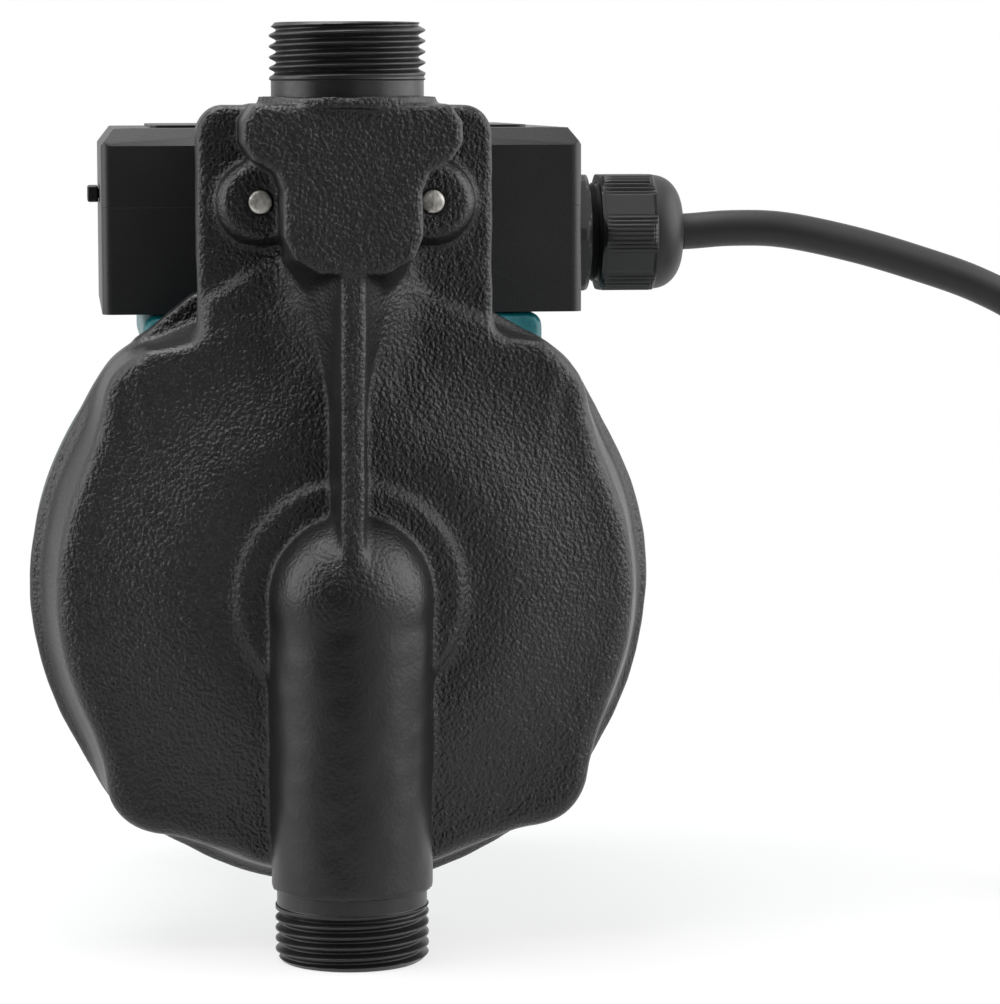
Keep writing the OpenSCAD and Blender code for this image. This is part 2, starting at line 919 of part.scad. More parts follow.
module impeller() {
    color(white)
        difference() {
            union() {
                ring_y(blade_back, impeller_back, 0, impeller_r);
                ring_y(blade_front + bury, impeller_back + shroud_gap, 0, hub_r);
                translate([0, blade_back + bury, axis_h])
                    rotate([90, 0, 0])
                        linear_extrude(blade_h + bury - seat_gap)
                            for (i = [0 : blade_count - 1])
                                rotate(i * 360 / blade_count)
                                    blade_outline();
            }
            bar_y(0, axis_h, shaft_front, impeller_back + over, shaft_r + seat_gap);
        }
}

// Front cover of the impeller with the eye that runs in the wear ring
module impeller_shroud() {
    color(white)
        turned()
            difference() {
                union() {
                    translate([0, shroud_front])
                        square([impeller_r, shroud_t]);
                    translate([0, ring_seat_set + eye_gap])
                        square([eye_r + eye_wall, shroud_front - ring_seat_set]);
                }
                translate([0, ring_seat_set - over])
                    square([eye_r, blade_front - ring_seat_set + 2 * over]);
            }
}

module impeller_nut() {
    color(brass)
        difference() {
            translate([0, blade_front + bury - seat_gap, axis_h])
                rotate([90, 0, 0])
                    cylinder(r = hub_r - seat_gap, h = blade_front - shaft_front - cup_t, $fn = 6);
            bar_y(0, axis_h, 0, blade_back, shaft_r + seat_gap);
        }
}

module vent_plug() {
    plug_front = drum_back - back_wall - 2 * cup_t;
    head_front = drum_back + vent_boss_h + vent_seal_t;
    color(brass)
        difference() {
            union() {
                bar_y(0, axis_h, plug_front, head_front + bury, vent_r);
                bar_y(0, axis_h, head_front, head_front + vent_head_t, vent_head_r);
            }
            translate([-vent_head_r - over, head_front + vent_head_t / 2, axis_h - vent_slot_w / 2])
                cube([2 * (vent_head_r + over), vent_head_t, vent_slot_w]);
        }
}

module vent_seal() {
    color(rubber)
        ring_y(drum_back + vent_boss_h, drum_back + vent_boss_h + vent_seal_t, vent_r + seat_gap, cap_r);
}

// Rubber grommet in the floor of the box, round the stator leads
module lead_grommet() {
    floor_top = box_low + box_wall;
    color(rubber)
        translate([0, lead_hole_y, 0])
            rotate_extrude()
                difference() {
                    union() {
                        translate([0, table_top - table_t / 2])
                            square([lead_hole_r - seat_gap, floor_top - table_top + table_t / 2 + grommet_lip]);
                        translate([0, floor_top])
                            square([lead_hole_r + grommet_lip, grommet_lip]);
                    }
                    translate([0, table_top - table_t])
                        square([grommet_r, 2 * table_t + grommet_lip]);
                }
}

// The box's corner posts, as signs of X and Y
post_signs = [[-1, -1], [-1, 1], [1, -1], [1, 1]];
function post_x(s) = box_shift + s * (box_w / 2 - post_inset);
function post_y(s) = box_mid + s * (box_d / 2 - post_inset);

module terminal_box_base() {
    floor_top = box_low + box_wall;
    color(satin_black)
        difference() {
            union() {
                difference() {
                    translate([0, 0, box_low])
                        linear_extrude(base_h)
                            box_plan(0);
                    translate([0, 0, floor_top])
                        linear_extrude(base_h)
                            box_plan(-box_wall);
                }
                for (s = post_signs)
                    translate([post_x(s[0]), post_y(s[1]), box_low])
                        cylinder(r = post_r, h = base_h);
                // Nose that carries the reed switch to the neck plate
                slab(neck_back, box_front + box_wall)
                    translate([0, nose_low])
                        round_rect(nose_w, nose_h, box_corner_r);
                // Raised wall round the gland
                translate([right_wall - box_wall, gland_y - tab_w / 2, seam_h - box_wall])
                    cube([box_wall, tab_w, box_wall + gland_z + tab_h - seam_h]);
            }
            // Hollow of the nose
            slab(neck_back + box_wall, box_front + 2 * box_wall)
                translate([0, nose_low + box_wall])
                    round_rect(nose_w - 2 * box_wall, nose_h - 2 * box_wall, box_corner_r);
            for (side = [-1, 1])
                bar_y(side * pad_pitch, pad_h, neck_back - over, neck_back + box_wall + over, neck_screw_r + seat_gap);
            bar_x(gland_y, gland_z, right_wall - box_wall - over, right_wall + over, gland_thread_r + seat_gap);
            for (s = post_signs)
                translate([post_x(s[0]), post_y(s[1]), floor_top])
                    cylinder(r = cover_screw_r + seat_gap, h = base_h);
            translate([0, lead_hole_y, box_low - over])
                cylinder(r = lead_hole_r, h = box_wall + 2 * over);
            for (x = [-1, 1], y = [0, 1])
                translate([box_screw_x(x), box_screw_y(y), box_low - over])
                    cylinder(r = box_screw_r + seat_gap, h = box_wall + 2 * over);
        }
}

// Cover blank: the box's plan with a bevel along all four top edges
module cover_blank() {
    intersection() {
        translate([0, 0, seam_h])
            linear_extrude(cover_h)
                box_plan(0);
        slab(box_front - over, box_back + over)
            translate([box_shift, 0])
                bevelled(box_w);
        translate([box_shift, box_mid, 0])
            rotate([0, 0, 90])
                slab(-box_w / 2 - over, box_w / 2 + over)
                    bevelled(box_d);
    }
}

module bevelled(w) {
    polygon([
        [-w / 2 - over, seam_h - over], [w / 2 + over, seam_h - over], [w / 2 + over, cover_top - bevel_h],
        [w / 2, cover_top - bevel_h], [w / 2 - bevel_w, cover_top + seat_gap],
        [bevel_w - w / 2, cover_top + seat_gap], [-w / 2, cover_top - bevel_h],
        [-w / 2 - over, cover_top - bevel_h]
    ]);
}

module terminal_box_cover() {
    color(satin_black)
        difference() {
            union() {
                cover_blank();
                translate([0, 0, cover_top - bury])
                    linear_extrude(panel_h + bury)
                        box_plan(-panel_inset);
            }
            translate([0, 0, seam_h - over])
                linear_extrude(cover_h - box_wall + over)
                    difference() {
                        box_plan(-box_wall);
                        for (s = post_signs)
                            translate([post_x(s[0]), post_y(s[1])])
                                circle(post_r);
                    }
            // Cut-outs for the nose, the raised gland wall and the knob
            slab(box_front - over, box_front + box_wall + over)
                translate([0, seam_h - over])
                    square_centred(nose_w + 2 * nose_gap, nose_low + nose_h + nose_gap - seam_h + over);
            translate([
                right_wall - box_wall - over, gland_y - tab_w / 2 - nose_gap, seam_h - over
            ])
                cube([box_wall + 2 * over, tab_w + 2 * nose_gap, over + gland_z + tab_h + nose_gap - seam_h]);
            translate([left_wall - over, knob_y - knob_l / 2 - knob_travel - knob_gap, seam_h - over])
                cube([box_wall + 2 * over, knob_l + 2 * (knob_travel + knob_gap), over + knob_h + 2 * knob_gap]);
            for (s = post_signs)
                translate([post_x(s[0]), post_y(s[1]), seam_h - over]) {
                    cylinder(r = cover_screw_r + seat_gap, h = cover_h + 2 * over);
                    translate([0, 0, over + cover_h - cover_head_h])
                        cylinder(r = cover_head_r + seat_gap, h = cover_head_h + over);
                }
        }
}

module square_centred(w, h) {
    translate([-w / 2, 0])
        square([w, h]);
}

// Seal that lies inside the cover's foot, above the base's wall
module box_gasket() {
    color(rubber)
        difference() {
            translate([0, 0, seam_h - 2 * gasket_h])
                linear_extrude(gasket_h)
                    difference() {
                        box_plan(-box_wall - seat_gap);
                        box_plan(-box_wall - gasket_w);
                        for (s = post_signs)
                            translate([post_x(s[0]), post_y(s[1])])
                                circle(post_r + seat_gap);
                    }
            translate([-nose_w / 2 - nose_gap, box_front, seam_h - 3 * gasket_h])
                cube([nose_w + 2 * nose_gap, 3 * box_wall, 3 * gasket_h]);
            translate([right_wall - 3 * box_wall, gland_y - tab_w / 2, seam_h - 3 * gasket_h])
                cube([3 * box_wall, tab_w, 3 * gasket_h]);
        }
}

// Four screws that hold the base to the table
module box_screws() {
    floor_top = box_low + box_wall;
    color(steel)
        for (x = [-1, 1], y = [0, 1])
            translate([box_screw_x(x), box_screw_y(y), 0]) {
                translate([0, 0, table_top - box_screw_l + over])
                    cylinder(r = box_screw_r, h = floor_top - table_top + box_screw_l - over + bury);
                translate([0, 0, floor_top])
                    cylinder(r = screw_head_r, h = screw_head_h);
            }
}

module cover_screws() {
    color(steel)
        for (s = post_signs)
            translate([post_x(s[0]), post_y(s[1]), cover_top - cover_head_h]) {
                translate([0, 0, cover_head_h - cover_screw_l])
                    cylinder(r = cover_screw_r, h = cover_screw_l - bury);
                cylinder(r = cover_head_r, h = cover_head_h - 2 * seat_gap);
            }
}

// Two screws from inside the nose through the neck plate
module neck_screws() {
    head_front = neck_back + box_wall;
    color(steel)
        for (side = [-1, 1]) {
            bar_y(side * pad_pitch, pad_h, pad_face - neck_screw_proud, head_front + bury, neck_screw_r);
            bar_y(side * pad_pitch, pad_h, head_front, head_front + screw_head_h, screw_head_r);
        }
}

module terminal_block() {
    floor_top = box_low + box_wall;
    pitch = block_l / terminal_count;
    color(white)
        translate([right_wall - box_wall - locknut_t - gland_tail_l - block_l, gland_y - block_d / 2, floor_top])
            difference() {
                cube([block_l, block_d, block_h]);
                for (i = [0 : terminal_count - 1])
                    translate([pitch * (i + 1 / 2), block_d / 2, block_h / 3])
                        cylinder(r = terminal_hole_r, h = block_h);
            }
}

module capacitor() {
    color(white)
        bar_x(
            capacitor_y, box_low + box_wall + capacitor_r,
            capacitor_x, capacitor_x + capacitor_l, capacitor_r
        );
}

// Circuit board on standoffs, with its relay
module control_board() {
    floor_top = box_low + box_wall;
    x0 = board_x;
    y0 = board_y;
    color(green) {
        translate([x0, y0, floor_top + board_h])
            cube([board_l, board_d, board_t]);
        for (x = [0, 1], y = [0, 1])
            translate([
                x0 + standoff_r + x * (board_l - 2 * standoff_r),
                y0 + standoff_r + y * (board_d - 2 * standoff_r), floor_top
            ])
                cylinder(r = standoff_r, h = board_h + bury);
        translate([x0 + board_l - relay_l, y0 + board_d / 2 - relay_w / 2, floor_top + board_h])
            cube([relay_l, relay_w, board_t + relay_h]);
    }
}

// Slide switch against the left wall, on a post from the floor
module switch_body() {
    color(graphite)
        translate([left_wall + box_wall + stem_l, knob_y - switch_l / 2, box_low + box_wall])
            cube([switch_w, switch_l, seam_h + switch_h / 2 - box_low - box_wall]);
}

module selector_knob() {
    knob_low = seam_h + knob_gap;
    color(black)
        translate([left_wall - knob_proud, knob_y - knob_l / 2, knob_low]) {
            cube([knob_proud - knob_gap, knob_l, knob_h]);
            translate([0, knob_l / 4, knob_h / 4])
                cube([knob_proud + box_wall + stem_l - knob_gap, knob_l / 2, knob_h / 2]);
        }
}

// Reed switch on the inside of the nose, level with the open flap's magnet
module reed_switch() {
    color(graphite)
        bar_x(neck_back + box_wall + reed_r + seat_gap, reed_h, -reed_l / 2, reed_l / 2, reed_r);
}

// Moulded sleeve in the outlet with the seat and the ears of the flap
module flap_seat() {
    sleeve_r = outlet_bore_r - seat_gap;
    color(white)
        difference() {
            translate([0, 0, seat_low])
                cylinder(r = sleeve_r, h = seat_h);
            translate([0, 0, seat_low + seat_plate_t])
                cylinder(r = sleeve_r - seat_wall, h = seat_h);
            translate([0, seat_hole_y, seat_low - over])
                cylinder(r = seat_hole_r, h = seat_plate_t + 2 * over);
            bar_x(pin_y, pin_h, -sleeve_r, sleeve_r, pin_r + seat_gap / 2);
        }
}

module flap_pin() {
    half = sqrt(pow(outlet_bore_r - seat_gap, 2) - pow(pin_y + pin_r, 2)) - seat_gap;
    color(steel)
        bar_x(pin_y, pin_h, -half, half, pin_r);
}

module flow_flap() {
    plate_low = pin_h - barrel_r;
    color(white)
        difference() {
            union() {
                intersection() {
                    translate([0, seat_hole_y, plate_low])
                        cylinder(r = flap_r, h = flap_t);
                    translate([-flap_r, seat_hole_y - flap_r, plate_low])
                        cube([2 * flap_r, pin_y - seat_hole_y + flap_r, flap_t]);
                }
                bar_x(pin_y, pin_h, -barrel_half, barrel_half, barrel_r);
                // Cup that holds the magnet
                translate([0, magnet_y, plate_low])
                    cylinder(r = magnet_r + flap_t / 2, h = flap_t + magnet_h);
            }
            bar_x(pin_y, pin_h, -flap_r, flap_r, pin_r + run_gap);
            translate([0, magnet_y, plate_low + flap_t])
                cylinder(r = magnet_r + seat_gap, h = magnet_h + over);
        }
}

module flap_magnet() {
    color(steel)
        translate([0, magnet_y, pin_h - barrel_r + flap_t])
            cylinder(r = magnet_r, h = magnet_h - seat_gap);
}

// Body of the gland: hexagon outside the wall, threaded tail through it
module gland_body() {
    color(black)
        difference() {
            union() {
                translate([right_wall, gland_y, gland_z])
                    rotate([0, 90, 0])
                        rotate(180 / 6)
                            cylinder(r = gland_r, h = gland_hex_t, $fn = 6);
                bar_x(gland_y, gland_z, right_wall - box_wall - gland_tail_l, right_wall + bury, gland_thread_r);
                bar_x(gland_y, gland_z, gland_hex_end - bury, gland_nut_start + gland_neck_l, nut_bore_r - seat_gap);
            }
            bar_x(
                gland_y, gland_z, right_wall - box_wall - gland_tail_l - over,
                gland_nut_start + gland_neck_l + over, gland_bore_r
            );
        }
}

module gland_locknut() {
    tail = right_wall - box_wall;
    color(black)
        difference() {
            translate([tail - locknut_t, gland_y, gland_z])
                rotate([0, 90, 0])
                    rotate(180 / 6)
                        cylinder(r = locknut_af / 2 / cos(180 / 6), h = locknut_t, $fn = 6);
            bar_x(gland_y, gland_z, tail - locknut_t - over, tail + over, gland_thread_r + seat_gap);
        }
}

// Rubber sleeve that the nut squeezes on to the cord
module gland_seal() {
    start = gland_nut_start + gland_neck_l + seat_gap;
    color(rubber)
        difference() {
            bar_x(gland_y, gland_z, start, start + seal_l, nut_bore_r - gland_lip);
            bar_x(gland_y, gland_z, start - over, start + seal_l + over, cord_r + seat_gap);
        }
}

// Hexagonal nut with a domed end
module gland_nut() {
    hex_l = gland_nut_l - dome_l;
    color(black)
        difference() {
            union() {
                translate([gland_nut_start, gland_y, gland_z])
                    rotate([0, 90, 0])
                        rotate(180 / 6)
                            cylinder(r = gland_r, h = hex_l, $fn = 6);
                translate([gland_nut_start + hex_l, gland_y, gland_z])
                    rotate([0, 90, 0])
                        rotate_extrude()
                            polygon([
                                [0, -bury], [gland_af / 2, -bury], [gland_af / 2, 0],
                                for (a = [10 : 10 : 90])
                                    [
                                        dome_end_r + (gland_af / 2 - dome_end_r) * cos(a),
                                        dome_l * sin(a)
                                    ],
                                [0, dome_l]
                            ]);
            }
            bar_x(gland_y, gland_z, gland_nut_start - over, gland_end + over, cord_r + 2 * seat_gap);
            bar_x(gland_y, gland_z, gland_nut_start - over, gland_nut_start + nut_bore_l, nut_bore_r);
        }
}

// The held end of the cord, through the gland into the box
module lead_in() {
    color(rubber)
        bar_x(gland_y, gland_z, gland_end - lead_in_l, gland_end, cord_r);
}

function unit(v) = v / norm(v);

// Direction of a route at point i
function heading(p, i) = unit(p[min(i + 1, len(p) - 1)] - p[max(i - 1, 0)]);

// A closed tube along a route, with a ring of points at each place of it. The rings' sides
// are level with a direction that the route never runs along.
module tube(p, r, sides, first, last, level) {
    n = len(p);
    points = [
        for (i = [0 : n - 1])
            let (
                t = i == 0 ? first : i == n - 1 ? last : heading(p, i),
                side = unit(cross(t, level)),
                up = cross(side, t)
            )
                for (k = [0 : sides - 1])
                    p[i] + r * (cos(k * 360 / sides) * up + sin(k * 360 / sides) * side)
    ];
    walls = [
        for (i = [0 : n - 2], k = [0 : sides - 1])
            let (a = i * sides + k, b = i * sides + (k + 1) % sides)
                each [[a, b, b + sides], [a, b + sides, a + sides]]
    ];
    ends = [
        for (k = [1 : sides - 2])
            each [[0, k + 1, k], [(n - 1) * sides, (n - 1) * sides + k, (n - 1) * sides + k + 1]]
    ];
    polyhedron(points, concat(walls, ends), convexity = 10);
}

module cord() {
    color(rubber)
        tube(cord_route, cord_r, cord_sides, [1, 0, 0], [0, -1, 0], [1, 1, 0]);
}

// Middle of the coil after some turns: in along the floor, up a layer, and out again
function coil_point(t) =
    let (
        r = coil_in_r + coil_pitch * abs(t - coil_back_turn),
        climb = min(1, max(0, (t - coil_back_turn + 0.25) / 0.5)),
        a = 180 + 360 * t
    )
        [coil_x + r * cos(a), coil_y + r * sin(a), cord_r + coil_rise * climb];

coil_line = concat(
    [coil_point(0) + [0, cord_d, 0]],
    [for (i = [0 : coil_end_turn * rings_per_turn]) coil_point(i / rings_per_turn)],
    [coil_point(coil_end_turn) - [0, cord_d, 0]]
);

// Least gap between the coil's turns, measured on its own rings
coil_gap = min([
    for (i = [0 : len(coil_line) - 1], j = [0 : len(coil_line) - 1])
        if (j - i > rings_per_turn / 2)
            norm(coil_line[i] - coil_line[j]) - cord_d
]);
echo(coil_gap = coil_gap);

module cord_coil() {
    color(rubber)
        tube(coil_line, cord_r, coil_sides, [0, -1, 0], [0, -1, 0], [0, 0, 1]);
}

module plug_lead() {
    color(rubber)
        tube(lead_route, cord_r, cord_sides, [0, -1, 0], plug_way, [0, 0, 1]);
}

plug_way = [cos(plug_tilt), 0, sin(plug_tilt)];

// Moulded plug lying on the coil, from its strain relief to its face
module plug() {
    color(rubber)
        translate([plug_x, plug_y, plug_z])
            rotate([0, 90 - plug_tilt, 0])
                rotate_extrude()
                    polygon([
                        [0, 0], [plug_relief_r, 0], [plug_grip_r * 0.8, plug_relief_l], [plug_grip_r, plug_relief_l],
                        [plug_grip_r * 1.3, plug_relief_l + plug_grip_l / 2],
                        [plug_d / 2, plug_relief_l + plug_grip_l], [plug_d / 2, plug_l - over],
                        [plug_d / 2 - over, plug_l], [0, plug_l]
                    ]);
}

module plug_pins() {
    color(steel)
        translate([plug_x, plug_y, plug_z])
            rotate([0, 90 - plug_tilt, 0])
                for (side = [-1, 1])
                    translate([0, side * plug_pin_pitch / 2, plug_l])
                        cylinder(r = plug_pin_r, h = pin_l);
}

pump_housing();
wear_ring();
housing_gasket();
bearing_plate();
flange_bolts();
motor_housing();
stator_core();
stator_windings();
rotor_can();
front_bearing();
rear_bearing();
thrust_washer();
shaft();
rotor_core();
impeller();
impeller_shroud();
impeller_nut();
vent_plug();
vent_seal();
lead_grommet();
terminal_box_base();
terminal_box_cover();
box_gasket();
box_screws();
cover_screws();
neck_screws();
terminal_block();
capacitor();
control_board();
switch_body();
selector_knob();
reed_switch();
flap_seat();
flap_pin();
flow_flap();
flap_magnet();
gland_body();
gland_locknut();
gland_seal();
gland_nut();
lead_in();
cord();
cord_coil();
plug_lead();
plug();
plug_pins();
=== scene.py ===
import math

import bmesh
import bpy
import numpy as np
import openvdb
from mathutils import Matrix, Vector


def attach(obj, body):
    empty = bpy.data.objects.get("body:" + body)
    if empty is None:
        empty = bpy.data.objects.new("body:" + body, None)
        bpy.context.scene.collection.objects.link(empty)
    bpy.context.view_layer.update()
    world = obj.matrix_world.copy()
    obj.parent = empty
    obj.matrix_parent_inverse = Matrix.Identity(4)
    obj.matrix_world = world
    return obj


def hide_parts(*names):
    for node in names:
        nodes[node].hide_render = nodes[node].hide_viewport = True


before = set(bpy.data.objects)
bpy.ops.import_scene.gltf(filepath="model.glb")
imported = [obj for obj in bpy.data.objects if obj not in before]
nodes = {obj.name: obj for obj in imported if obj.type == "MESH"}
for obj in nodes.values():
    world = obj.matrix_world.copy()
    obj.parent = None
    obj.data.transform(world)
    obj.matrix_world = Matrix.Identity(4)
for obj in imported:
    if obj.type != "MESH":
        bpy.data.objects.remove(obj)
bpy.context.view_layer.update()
scene = bpy.context.scene
MM = 0.001

# Sizes that the solids are built to, in millimetres
AXIS_H = 62.7
SPAN = 160.0
BOX_X = 1.8
WALL_X = BOX_X + 43.0
GLAND_Y, GLAND_Z = 73.0, 122.0
GLAND_END = WALL_X + 6 + 1.3 + 16.4
CORD_R = 3.4
PORT_R, THREAD_PITCH, THREAD_L, COLLAR_L = 13.2, 1.814, 9.6, 3.0
SUCTION_R, OUTLET_R = 8.0, 9.5
NECK_SCREW_X, NECK_SCREW_Z, NECK_SCREW_R = 14.7, 129.8, 2.0
BOLT_PITCH = 32.5
FLANGE_R = 54.2
PIPE_R, ELBOW_R = 13.8, 13.9
DRUM_R, DRUM_BORE_R = 41.4, 37.9


def unit(v):
    """The vector at length one."""
    v = np.asarray(v, float)
    return v / np.linalg.norm(v)


# The camera fitted to the photograph: its turns in radians, its place in metres, its focal length in pixels
CAMERA_YAW, CAMERA_PITCH, CAMERA_ROLL = 0.1092, 0.1024, -0.0019
CAMERA_AT = (-0.04805, -0.6731, 0.1481)
FOCAL_PX, PHOTO_PX = 3978.2, 1004
SENSOR_W = 36.0


def make_camera():
    """A camera at the photograph's viewing angle."""
    yaw, pitch, roll = CAMERA_YAW, CAMERA_PITCH, CAMERA_ROLL
    look = np.array([math.sin(yaw) * math.cos(pitch), math.cos(yaw) * math.cos(pitch), -math.sin(pitch)])
    right = np.array([math.cos(yaw), -math.sin(yaw), 0.0])
    up = np.cross(right, look)
    c, s = math.cos(roll), math.sin(roll)
    right, up = c * right + s * up, c * up - s * right
    data = bpy.data.cameras.new("camera")
    data.sensor_fit = "AUTO"
    data.sensor_width = SENSOR_W
    data.lens = FOCAL_PX * SENSOR_W / PHOTO_PX
    data.clip_start, data.clip_end = 0.01, 20
    cam = bpy.data.objects.new("camera", data)
    m = Matrix.Identity(4)
    for row in range(3):
        m[row][0], m[row][1], m[row][2] = right[row], up[row], -look[row]
    m[0][3], m[1][3], m[2][3] = CAMERA_AT
    cam.matrix_world = m
    scene.collection.objects.link(cam)
    scene.camera = cam


make_camera()


# Materials
class Nodes:
    """Short names for building a material's node tree."""

    def __init__(self, tree):
        self.tree = tree

    def add(self, kind, **values):
        n = self.tree.nodes.new(kind)
        for k, v in values.items():
            setattr(n, k, v)
        return n

    def link(self, a, b):
        self.tree.links.new(a, b)

    def value(self, socket, v):
        if isinstance(v, bpy.types.NodeSocket):
            self.link(v, socket)
        else:
            socket.default_value = v

    def math(self, op, a, b=0.0, c=None, clamp=False):
        n = self.add("ShaderNodeMath", operation=op, use_clamp=clamp)
        self.value(n.inputs[0], a)
        self.value(n.inputs[1], b)
        if c is not None:
            self.value(n.inputs[2], c)
        return n.outputs[0]

    def noise(self, vector, scale, detail=2.0, rough=0.5):
        n = self.add("ShaderNodeTexNoise")
        self.link(vector, n.inputs["Vector"])
        n.inputs["Scale"].default_value = scale
        n.inputs["Detail"].default_value = detail
        n.inputs["Roughness"].default_value = rough
        return n.outputs["Fac"]

    def cells(self, vector, scale, smooth=0.6):
        n = self.add("ShaderNodeTexVoronoi", feature="SMOOTH_F1")
        self.link(vector, n.inputs["Vector"])
        n.inputs["Scale"].default_value = scale
        n.inputs["Smoothness"].default_value = smooth
        return n.outputs["Distance"]

    def remap(self, v, a, b, c, d):
        n = self.add("ShaderNodeMapRange")
        self.link(v, n.inputs["Value"])
        for name, x in zip(("From Min", "From Max", "To Min", "To Max"), (a, b, c, d)):
            self.value(n.inputs[name], x)
        return n.outputs["Result"]

    def mix(self, fac, a, b):
        n = self.add("ShaderNodeMix", data_type="RGBA")
        self.value(n.inputs[0], fac)
        self.value(n.inputs[6], a)
        self.value(n.inputs[7], b)
        return n.outputs[2]

    def bump(self, height, strength, distance, normal=None):
        n = self.add("ShaderNodeBump")
        self.value(n.inputs["Strength"], strength)
        n.inputs["Distance"].default_value = distance
        self.link(height, n.inputs["Height"])
        if normal is not None:
            self.link(normal, n.inputs["Normal"])
        return n.outputs["Normal"]


def new_material(name):
    """An empty material, its short names, its shader and its coordinates."""
    m = bpy.data.materials.new(name)
    m.use_nodes = True
    m.node_tree.nodes.clear()
    t = Nodes(m.node_tree)
    out = t.add("ShaderNodeOutputMaterial")
    shader = t.add("ShaderNodeBsdfPrincipled")
    t.link(shader.outputs[0], out.inputs[0])
    coords = t.add("ShaderNodeTexCoord").outputs["Object"]
    return m, t, shader, coords


def rgb(r, g, b):
    """A colour with its alpha."""
    return (r, g, b, 1.0)


def plain(name, dark, light, rough=(0.35, 0.5), metal=0.0, grain=900.0, depth=0.00003, patch=40.0):
    """A surface with fine grain, and broad soft patches in its colour and gloss.

    dark and light are the ends of its colour, rough those of its roughness. grain and patch are noise scales,
    depth the height of the grain in metres.
    """
    m, t, shader, at = new_material(name)
    broad = t.noise(at, patch, 3.0, 0.55)
    fine = t.noise(at, grain, 3.0, 0.6)
    t.link(t.mix(t.remap(broad, 0.3, 0.7, 0.0, 1.0), rgb(*dark), rgb(*light)), shader.inputs["Base Color"])
    both = t.math("ADD", t.math("MULTIPLY", broad, 0.6), t.math("MULTIPLY", fine, 0.4))
    t.link(t.remap(both, 0.3, 0.7, rough[0], rough[1]), shader.inputs["Roughness"])
    shader.inputs["Metallic"].default_value = metal
    t.link(t.bump(fine, 0.6, depth), shader.inputs["Normal"])
    return m


def cast_paint():
    """Black paint over cast iron: pebbled on the faces that look forward, smoother on edges and on the pipe."""
    m, t, shader, at = new_material("cast_paint")
    normal = t.add("ShaderNodeNewGeometry").outputs["Normal"]
    parts = t.add("ShaderNodeSeparateXYZ")
    t.link(normal, parts.inputs[0])
    place = t.add("ShaderNodeSeparateXYZ")
    t.link(at, place.inputs[0])
    facing = t.remap(t.math("ABSOLUTE", parts.outputs[1]), 0.60, 0.95, 0.42, 1.0)
    low = t.remap(place.outputs[2], 0.058, 0.076, 0.15, 1.0)
    on_pipe = t.remap(place.outputs[1], -0.004, -0.001, 0.0, 1.0)
    coarse = t.math("MULTIPLY", facing, t.math("MAXIMUM", low, on_pipe))
    warp = t.add("ShaderNodeMapping")
    t.link(at, warp.inputs["Vector"])
    warp.inputs["Scale"].default_value = (1.05, 1.0, 0.96)
    pebble = t.cells(warp.outputs[0], 1500.0, 0.7)
    peel = t.noise(warp.outputs[0], 1500.0, 2.5, 0.55)
    fine = t.noise(at, 4200.0, 2.0, 0.5)
    height = t.math("ADD", t.math("MULTIPLY", peel, 0.75), t.math("MULTIPLY", pebble, -0.45))
    height = t.math("ADD", height, t.math("MULTIPLY", fine, 0.10))
    t.link(t.bump(height, coarse, 0.00052), shader.inputs["Normal"])
    broad = t.noise(at, 45.0, 3.0, 0.6)
    t.link(t.mix(t.remap(broad, 0.3, 0.7, 0.0, 1.0), rgb(0.0034, 0.0034, 0.0037), rgb(0.0062, 0.0062, 0.0065)),
           shader.inputs["Base Color"])
    gloss = t.math("ADD", t.math("MULTIPLY", broad, 0.12), t.math("MULTIPLY", peel, 0.12))
    t.link(t.math("ADD", gloss, 0.25), shader.inputs["Roughness"])
    return m


def thread_paint():
    """The same paint, thinner and smoother, with fine tool marks along the thread."""
    m, t, shader, at = new_material("thread_paint")
    rings = t.add("ShaderNodeTexWave", wave_type="BANDS", bands_direction="Z")
    t.link(at, rings.inputs["Vector"])
    rings.inputs["Scale"].default_value = 1400.0
    rings.inputs["Distortion"].default_value = 1.5
    fine = t.noise(at, 1500.0, 3.0, 0.6)
    broad = t.noise(at, 120.0, 2.0, 0.5)
    t.link(t.mix(broad, rgb(0.0065, 0.0065, 0.007), rgb(0.011, 0.011, 0.0115)), shader.inputs["Base Color"])
    t.link(t.remap(fine, 0.2, 0.8, 0.26, 0.42), shader.inputs["Roughness"])
    t.link(t.bump(rings.outputs["Fac"], 0.25, 0.00002, t.bump(fine, 0.4, 0.00005)), shader.inputs["Normal"])
    return m


